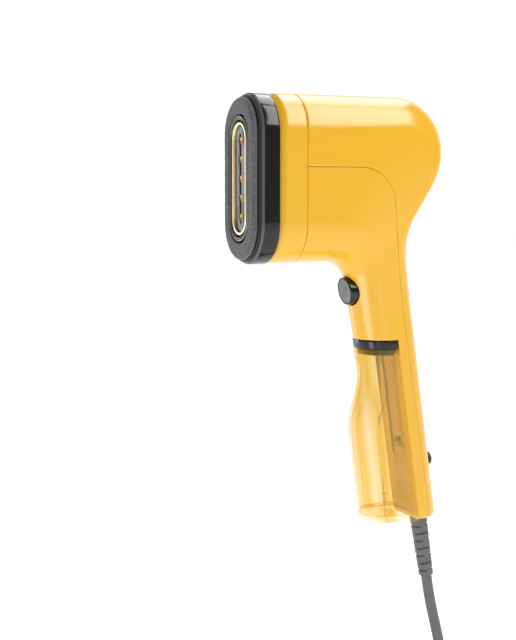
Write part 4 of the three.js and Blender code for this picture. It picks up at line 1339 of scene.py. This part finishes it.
    def neck(self) -> Object:
        """The neck that enters the grip, with a bead and a lead-in."""
        outer, bore = self.neck_radius, self.neck_bore
        profile = [(bore, -9.5), (outer - 0.25, -9.5), (outer - 0.25, -0.5), (outer, 0.2), (outer, 4.6),
                   (outer - 0.3, 4.9), (outer - 0.3, 7.3), (outer, 7.6), (outer - 0.15, 8.1), (outer - 0.6, 8.4),
                   (bore + 0.4, 8.4), (bore, 8.0)]
        return self.lathe("tank_neck", profile, Closing.BOTH)

    def build(self) -> None:
        """Makes and finishes the tank."""
        slope = float(np.tan(np.radians(self.casing.lean)))
        middle = (self.top + self.floor) / 2
        back = self.head.place(np.array([self.casing.wall_x(middle), 0.0, middle]))
        # the tints change at these depths; the pale back tint is painted light over the shell behind the tank
        places = tuple(float(back[0] + slope * back[2]) - depth * MM for depth in self.tint_and_light_depths)
        amber, black = AMBER.build(places, slope), GLOSS_BLACK.build()
        seat(self.tub(), amber, "tank", "water_tank", slot="amber_tank")
        seat(self.base(), amber, "tank", "tank_base", slot="amber_tank")
        seat(self.band(), black, "tank", "tank_collar", slot="gloss_black")
        seat(self.neck(), black, "tank", slot="gloss_black")


@dataclass
class TankRelease:
    """Round release button low on the back."""

    head: HeadFrame
    casing: Casing
    radius: float = 4.6

    def build(self) -> None:
        """Makes the button: a domed cap, a flange and a stem, on an axis square to the leaning wall."""
        r = self.radius
        profile = [(0, 7.8), (1.4, 7.8), (1.4, 11.6), (r + 0.8, 11.6), (r + 0.8, 12.8), (r, 12.8), (r, 20.2),
                   (r - 0.12, 20.7), (r - 0.45, 21.05), (r - 1.1, 21.25), (r - 2.4, 21.36), (0, 21.4)]
        grid = turn_about_y(turned(profile, 48), 90)
        grid = turn_about_y(grid - np.array([0, 0, self.casing.release_drop]), -self.casing.lean)
        level = self.casing.latch_level
        grid = grid + np.array([self.casing.wall_x(level), 0, level])
        piece = self.head.shape("release_button", grid, Closing.AROUND)
        seat(piece, SATIN_BLACK.build(), "release", "release_button", slot="satin_black")


# ---------------------------------------------------------------------------------------------- mains lead
@dataclass
class MainsLead:
    """Strain relief, lead, its neat coil with a strap, and the plug."""

    head: HeadFrame
    top: Pair = (122.9, -217.3)
    lean: float = 9.5
    relief_length: float = 42.0
    relief_band: float = 6.0
    relief_bore: float = 3.55
    ribs: int = 7
    radius: float = 3.5
    level: float = -387.0
    coil_centre: Pair = (102.0, 34.0)
    coil_radius: float = 38.5
    strands: int = 8
    strand_offset: float = 9.2
    turns: float = 7.25
    first_slot: float = 45.0
    bend: float = 34.0
    hang_pull: float = 24.0
    foot_shift: float = 3.5
    strap_inner: float = 12.8
    strap_outer: float = 13.15
    strap_width: float = 12.0
    plug_start: float = 49.0
    declared_length: float = 2.0

    @property
    def coil_z(self) -> float:
        """Height of the coil's middle."""
        return self.level + 13.2

    @property
    def tail_y(self) -> float:
        """Where the tail and plug lie, along the coil's outer edge."""
        return self.coil_centre[1] + self.coil_radius + 9.0

    @property
    def plug_z(self) -> float:
        """Height of the plug's middle."""
        return self.level + 9.0

    def relief_point(self, drop: Array) -> Array:
        """Points on the strain relief's axis, so far below the body."""
        drop = np.atleast_1d(np.asarray(drop, float))
        turn = np.radians(self.lean)
        return np.stack([self.top[0] + drop * np.sin(turn), 0 * drop, self.top[1] - drop * np.cos(turn)], -1)

    def relief(self) -> Object:
        """The strain relief: a tapering sleeve, smooth at the top, then ribs with windows that alternate.

        The radius falls slightly with the distance; in each groove it drops by a millimetre, but only on
        two opposite sides, which change by a quarter turn from groove to groove.
        """
        pitch = (self.relief_length - self.relief_band) / self.ribs
        smooth = np.linspace(0.0, self.relief_band, 9)
        drop = np.concatenate([smooth, np.linspace(self.relief_band, self.relief_length, 190)[1:]])
        turn = np.linspace(0, 2 * np.pi, 64, endpoint=False)[None, :]
        order = np.floor((drop - self.relief_band) / pitch)
        phase = (drop - self.relief_band) - order * pitch
        groove = smoothstep(phase / 0.35) * smoothstep((1.95 - phase) / 0.35) * (drop > self.relief_band)
        window = smoothstep((np.abs(np.cos(turn - order[:, None] * np.pi / 2)) - 0.28) / 0.2)
        edge = smoothstep((drop - 0.1) / 0.6) * smoothstep((self.relief_length + 0.05 - drop) / 0.8)
        radius = 5.52 - 0.022 * np.maximum(drop - self.relief_band, 0) - 0.5 * (1 - edge)
        radius = radius[:, None] - 1.15 * groove[:, None] * window
        across = np.array([np.cos(np.radians(self.lean)), 0, np.sin(np.radians(self.lean))])
        spoke = np.cos(turn)[..., None] * across + np.sin(turn)[..., None] * np.array([0, 1, 0])
        sleeve = self.relief_point(drop)[:, None, :] + radius[..., None] * spoke
        neck = self.relief_point(np.array([-5.6, -5.6, -3.6, -3.6, 0.0]))[:, None, :]
        neck_radius = np.array([self.relief_bore, 5.6, 5.6, 4.6, 4.6])[:, None, None]
        end = self.relief_point(np.array([self.relief_length, self.relief_length - 6]))[:, None, :]
        rings = [neck + neck_radius * spoke, sleeve, end + self.relief_bore * spoke]
        return self.head.shape("strain_relief", np.concatenate(rings))

    def coil(self) -> Array:
        """The coil's centreline: a bundle whose strands lie on a small ring that twists as they go round.

        The strand's place in the ring turns by one slot for each time round, so neighbours stay a diameter
        apart and the end comes off at the outside.
        """
        turn = np.linspace(0, 2 * np.pi * self.turns, int(self.turns * 18) + 1)
        slot = np.radians(self.first_slot) + turn / self.strands
        radius = self.coil_radius + self.strand_offset * np.cos(slot)
        height = self.coil_z + self.strand_offset * np.sin(slot)
        x, y = self.coil_centre
        return np.stack([x + radius * np.cos(turn), y + radius * np.sin(turn), height], 1)

    def centreline(self) -> Array:
        """The whole lead, from inside the strain relief's end to the plug."""
        coil = self.coil()
        joint = coil[0]
        start = self.relief_point(np.array([self.relief_length - 4.0, self.relief_length + 8.0]))
        last = np.array([joint[0] - self.foot_shift, 0.0, joint[2] + self.bend])
        share = np.linspace(0, 1, 8)[1:-1][:, None]
        first, lean = start[-1], np.radians(self.lean)
        pull = np.array([np.sin(lean), 0, -np.cos(lean)]) * self.hang_pull
        down = np.array([0.0, 0, -self.hang_pull])
        hang = ((1 - share) ** 3 * first + 3 * share * (1 - share) ** 2 * (first + pull)
                + 3 * share**2 * (1 - share) * (last - down) + share**3 * last)
        turn = np.radians(np.linspace(0, 90, 8))
        drift = joint[0] - self.foot_shift * (1 - smoothstep(turn / (np.pi / 2)))
        arc = np.stack([drift, joint[1] - self.bend * np.cos(turn), joint[2] + self.bend * (1 - np.sin(turn))], 1)
        leave = coil[-1]
        s = np.linspace(0, 1, 7)[1:]
        x = leave[0] + (self.plug_start - 4 - leave[0]) * s
        fall = smoothstep((s - 0.4) / 0.6)
        tail = np.stack([x, leave[1] + (self.tail_y - leave[1]) * fall, leave[2] + (self.plug_z - leave[2]) * fall], 1)
        return np.concatenate([start, hang, arc[:-1], coil, tail])

    def lead(self) -> Object:
        """The lead: one open smooth curve with a round section."""
        points = self.head.place(self.centreline())
        curve = bpy.data.curves.new("power_cord", "CURVE")
        curve.dimensions = "3D"
        curve.bevel_depth = self.radius * MM
        curve.bevel_resolution = 4
        curve.resolution_u = 4
        curve.render_resolution_u = 4
        curve.use_fill_caps = True
        spline = curve.splines.new("BEZIER")
        spline.bezier_points.add(len(points) - 1)
        spline.bezier_points.foreach_set("co", points.ravel())
        for knot in spline.bezier_points:
            knot.handle_left_type = knot.handle_right_type = "AUTO"
        return show("power_cord" + SUFFIX, curve)

    def strap(self) -> Object:
        """A flat strap wrapped round the bundle, with a tab end lying on top."""
        turn = np.linspace(0, 2 * np.pi, 72, endpoint=False)
        half, inner, outer = self.strap_width / 2, self.strap_inner, self.strap_outer
        outline = [(-half, inner), (half, inner), (half, outer - 0.08), (half - 0.3, outer), (-half + 0.3, outer),
                   (-half, outer - 0.08)]
        middle = np.array([self.coil_centre[0] - self.coil_radius, self.coil_centre[1], self.coil_z])
        rows = [middle + np.stack([r * np.cos(turn), np.full(72, y), r * np.sin(turn)], 1) for y, r in outline]
        return self.head.shape("cord_tie", np.array(rows))

    def plug(self) -> Object:
        """Moulded plug: rounded rectangles lofted from the lead's collar to the blades' face.

        Each section is a superellipse whose half-sizes follow the distance from the lead.
        """
        station = np.array([0, 0.5, 2, 5, 8, 11, 13, 16, 22, 29, 33, 35, 35.8, 36])
        half_x = np.array([4.3, 4.9, 5.2, 5.9, 7.4, 9.6, 11.0, 11.8, 12.0, 12.0, 11.8, 11.3, 10.7, 9.8])
        half_z = np.array([4.3, 4.9, 5.1, 5.6, 6.4, 7.5, 8.1, 8.4, 8.5, 8.5, 8.4, 8.0, 7.5, 6.8])
        power = np.array([2, 2, 2, 2.1, 2.5, 3.0, 3.4, 3.8, 4, 4, 4, 4, 4, 4])
        turn = np.linspace(0, 2 * np.pi, 64, endpoint=False)[None, :]
        flat = 2 / power[:, None]
        y = self.tail_y + half_x[:, None] * np.sign(np.cos(turn)) * np.abs(np.cos(turn)) ** flat
        z = self.plug_z + half_z[:, None] * np.sign(np.sin(turn)) * np.abs(np.sin(turn)) ** flat
        x = self.plug_start - station[:, None] + 0 * turn
        return self.head.shape("plug_body", np.stack([x, y, z], -1), Closing.AROUND, caps=True)

    def blade(self, order: int, side: float) -> Object:
        """A flat blade with a rounded end."""
        y = self.tail_y + side * 6.35
        root, tip = self.plug_start - 35.9, self.plug_start - 53
        outline = rounded_profile([(3.15, root, 0), (3.15, tip, 1.6), (-3.15, tip, 1.6), (-3.15, root, 0)], 7)
        grid = np.array([[[x, y + s, self.plug_z + z] for z, x in outline] for s in (-0.75, 0.75)])
        blade = self.head.shape(f"plug_blade_{order}", grid, Closing.AROUND, caps=True)
        return soften(blade, 0.15)

    def build(self) -> None:
        rubber = RUBBER.build()
        brass = PALE_GOLD.build()
        seat(self.relief(), rubber, "root", "strain_relief", slot="black_rubber")
        cord = seat(self.lead(), rubber, "root", "power_cord", "cord_coil", "cord_tail", slot="black_rubber")
        strap = seat(self.strap(), SATIN_BLACK.build(), "root", "cord_tie", slot="satin_black")
        plug = seat(self.plug(), rubber, "root", "plug_body", slot="black_rubber")
        blades = [seat(self.blade(order, side), brass, "root", f"plug_blade_{order}", slot="brass")
                  for order, side in ((1, -1), (2, 1))]
        start = self.head.place(self.relief_point(np.array([self.relief_length])))[0]
        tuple(start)


# ---------------------------------------------------------------------------------------------- inside
@dataclass(frozen=True)
class InnerPart:
    """CAD nodes that keep their own shape and take a finish."""

    finish: Moulded | Metalwork | TintedClear
    names: tuple[str, ...]


INSIDE = (
    InnerPart(CAST, ("steam_chamber",)),
    InnerPart(STEEL, ("heating_element", "heat_shield", "pump_frame", "pump_piston", "button_spring", "latch_pin",
                      "latch_spring", "thermal_fuse")),
    InnerPart(BRASS, ("thermostat", *(f"chamber_standoff_{order}" for order in range(1, 5)))),
    InnerPart(WINDING, ("pump_coil",)),
    InnerPart(WHITE_PLASTIC, ("pump_body", "terminal_block", "switch_plate")),
    InnerPart(LATCH_YELLOW, ("release_latch",)),
    InnerPart(SILICONE, ("inlet_hose", "outlet_hose")),
    InnerPart(CLEAR_HOSE, ("suction_tube", "tank_filter")),
    InnerPart(BOARD, ("control_board",)),
    InnerPart(SHEATH, ("wire_1", "wire_2", "wire_3")),
    InnerPart(SATIN_BLACK, ("microswitch", "dock_socket")),
    InnerPart(SEAL, ("inner_lead", "tank_seal")),
)


def dress_inside(nodes: dict[str, Object]) -> None:
    """Gives every CAD node that stays visible its finish."""
    for part in INSIDE:
        material = part.finish.build()
        for name in part.names:
            dress(nodes[name], material)


# ---------------------------------------------------------------------------------------------- studio
@dataclass(frozen=True)
class Panel:
    """A rectangular soft light.

    Args:
        name: its name.
        place: its middle.
        aim: the direction it shines in.
        size: width and height in metres.
        radiance: brightness of its surface, against 1 for white paper.
    """

    name: str
    place: Vector
    aim: Vector
    size: Pair
    radiance: float

    def build(self) -> None:
        """Makes the light."""
        data = bpy.data.lights.new(self.name, "AREA")
        data.shape = "RECTANGLE"
        data.size, data.size_y = self.size
        data.energy = self.radiance * np.pi * self.size[0] * self.size[1]
        light = show(self.name, data)
        light.location = self.place
        x, y, z = np.array(self.aim) / np.linalg.norm(self.aim)
        light.rotation_euler = (float(np.arccos(-z)), 0.0, float(np.arctan2(-x, y)))

PANELS = (
    Panel("top_box", (0.5, -0.51, 0.85), (0, 0.57, -0.82), (0.5, 1.0), 5.5),
    Panel("top_far_box", (0.5, 0.42, 1.08), (-0.1, -0.35, -0.93), (0.5, 0.95), 4.5),
    Panel("front_strip", (0.02, -1.3, 0.2), (0, 1.0, -0.1), (0.2, 1.1), 1.3),
    Panel("left_box", (-1.1, -0.35, 0.25), (1.0, 0.3, -0.1), (0.6, 0.9), 0.6),
    Panel("low_box", (-0.5, -0.2, -0.2), (1.0, 0.35, 0.2), (0.3, 0.3), 3.0),
    Panel("far_strip", (-0.6, 1.1, 0.2), (0.41, -0.91, -0.05), (0.35, 1.2), 3.0),
)

@dataclass
class Studio:
    """Camera, soft lights, pale world and floor."""

    focal: float = 73.125
    pitch: float = 5.27
    yaw: float = 24.0
    place: Vector = (-0.40744, -0.72251, 0.07935)
    floor_level: float = -0.2951
    surround: float = 0.25
    backdrop: float = 1.15
    white_span: Pair = (0.45, 0.88)
    floor_glow: Pair = (0.34, 0.68)
    glow_reach: Pair = (0.4, 2.0)

    def camera(self) -> None:
        """The camera: looks level along the yaw, a little down."""
        data = bpy.data.cameras.new("camera")
        data.lens = self.focal
        data.sensor_width = 36.0
        data.clip_end = 30.0
        camera = show("camera", data)
        camera.location = self.place
        camera.rotation_euler = (np.radians(90 - self.pitch), 0, np.radians(-self.yaw))
        bpy.context.scene.camera = camera

    def world(self) -> None:
        """A world that is white behind the object, as the camera first sees it, and greyer elsewhere."""
        world = bpy.data.worlds.new("studio")
        world.use_nodes = True
        tree = Tree(world.node_tree)
        turn, tip = np.radians(self.yaw), np.radians(self.pitch)
        ahead = (np.sin(turn) * np.cos(tip), np.cos(turn) * np.cos(tip), -np.sin(tip))
        facing = tree.measure(tree.add("ShaderNodeTexCoord").outputs["Generated"], "DOT_PRODUCT", ahead)
        ends = (self.surround, self.backdrop)
        white = tree.remap(facing, self.white_span, ends, interpolation_type="SMOOTHSTEP")
        background = tree.tree.nodes["Background"]
        background.inputs["Color"].default_value = (1.0, 1.0, 1.0, 1)
        tree.link(white, background.inputs["Strength"])
        bpy.context.scene.world = world

    def floor(self) -> None:
        """A wide pale floor at the level the coil lies on, with a light of its own that grows with the distance."""
        corners = [[[x, y, self.floor_level] for y in (-9.0, 12.0)] for x in (-10.0, 10.0)]
        corners = [[[x, y, self.floor_level] for y in (-9.0, 12.0)] for x in (-10.0, 10.0)]
        floor = grid_object("floor", np.array(corners))
        nodes = Moulded("studio_floor", (0.9, 0.9, 0.9), (0.75, 0.85), 0.01, grain=40, depth=1e-5).nodes()
        nodes.set(Emission_Color=(1, 1, 1, 1))
        glow = nodes.remap(nodes.measure(nodes.place, "LENGTH"), self.glow_reach, self.floor_glow)
        nodes.link(glow, nodes.shader.inputs["Emission Strength"])
        dress(floor, nodes.material)

    def build(self) -> None:
        """Makes the camera, the lights, the world and the floor."""
        self.camera()
        for panel in PANELS:
            panel.build()
        self.world()
        self.floor()
        bpy.context.scene.view_settings.view_transform = "Standard"


def main() -> None:
    """Builds the whole scene, piece by piece."""
    logging.basicConfig(level=logging.INFO, format="%(name)s %(message)s")
    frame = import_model()
    head = HeadFrame.from_bezel()
    casing = Casing(head)
    parts = (Studio(), MainsLead(head), casing, SteamFace(head), SteamButton(head), WaterTank(head, casing),
             TankRelease(head, casing))
    for part in parts:
        part.build()
        LOG.info("%s is built", type(part).__name__)
    dress_inside(frame["nodes"])


if __name__ == "__main__":
    main()
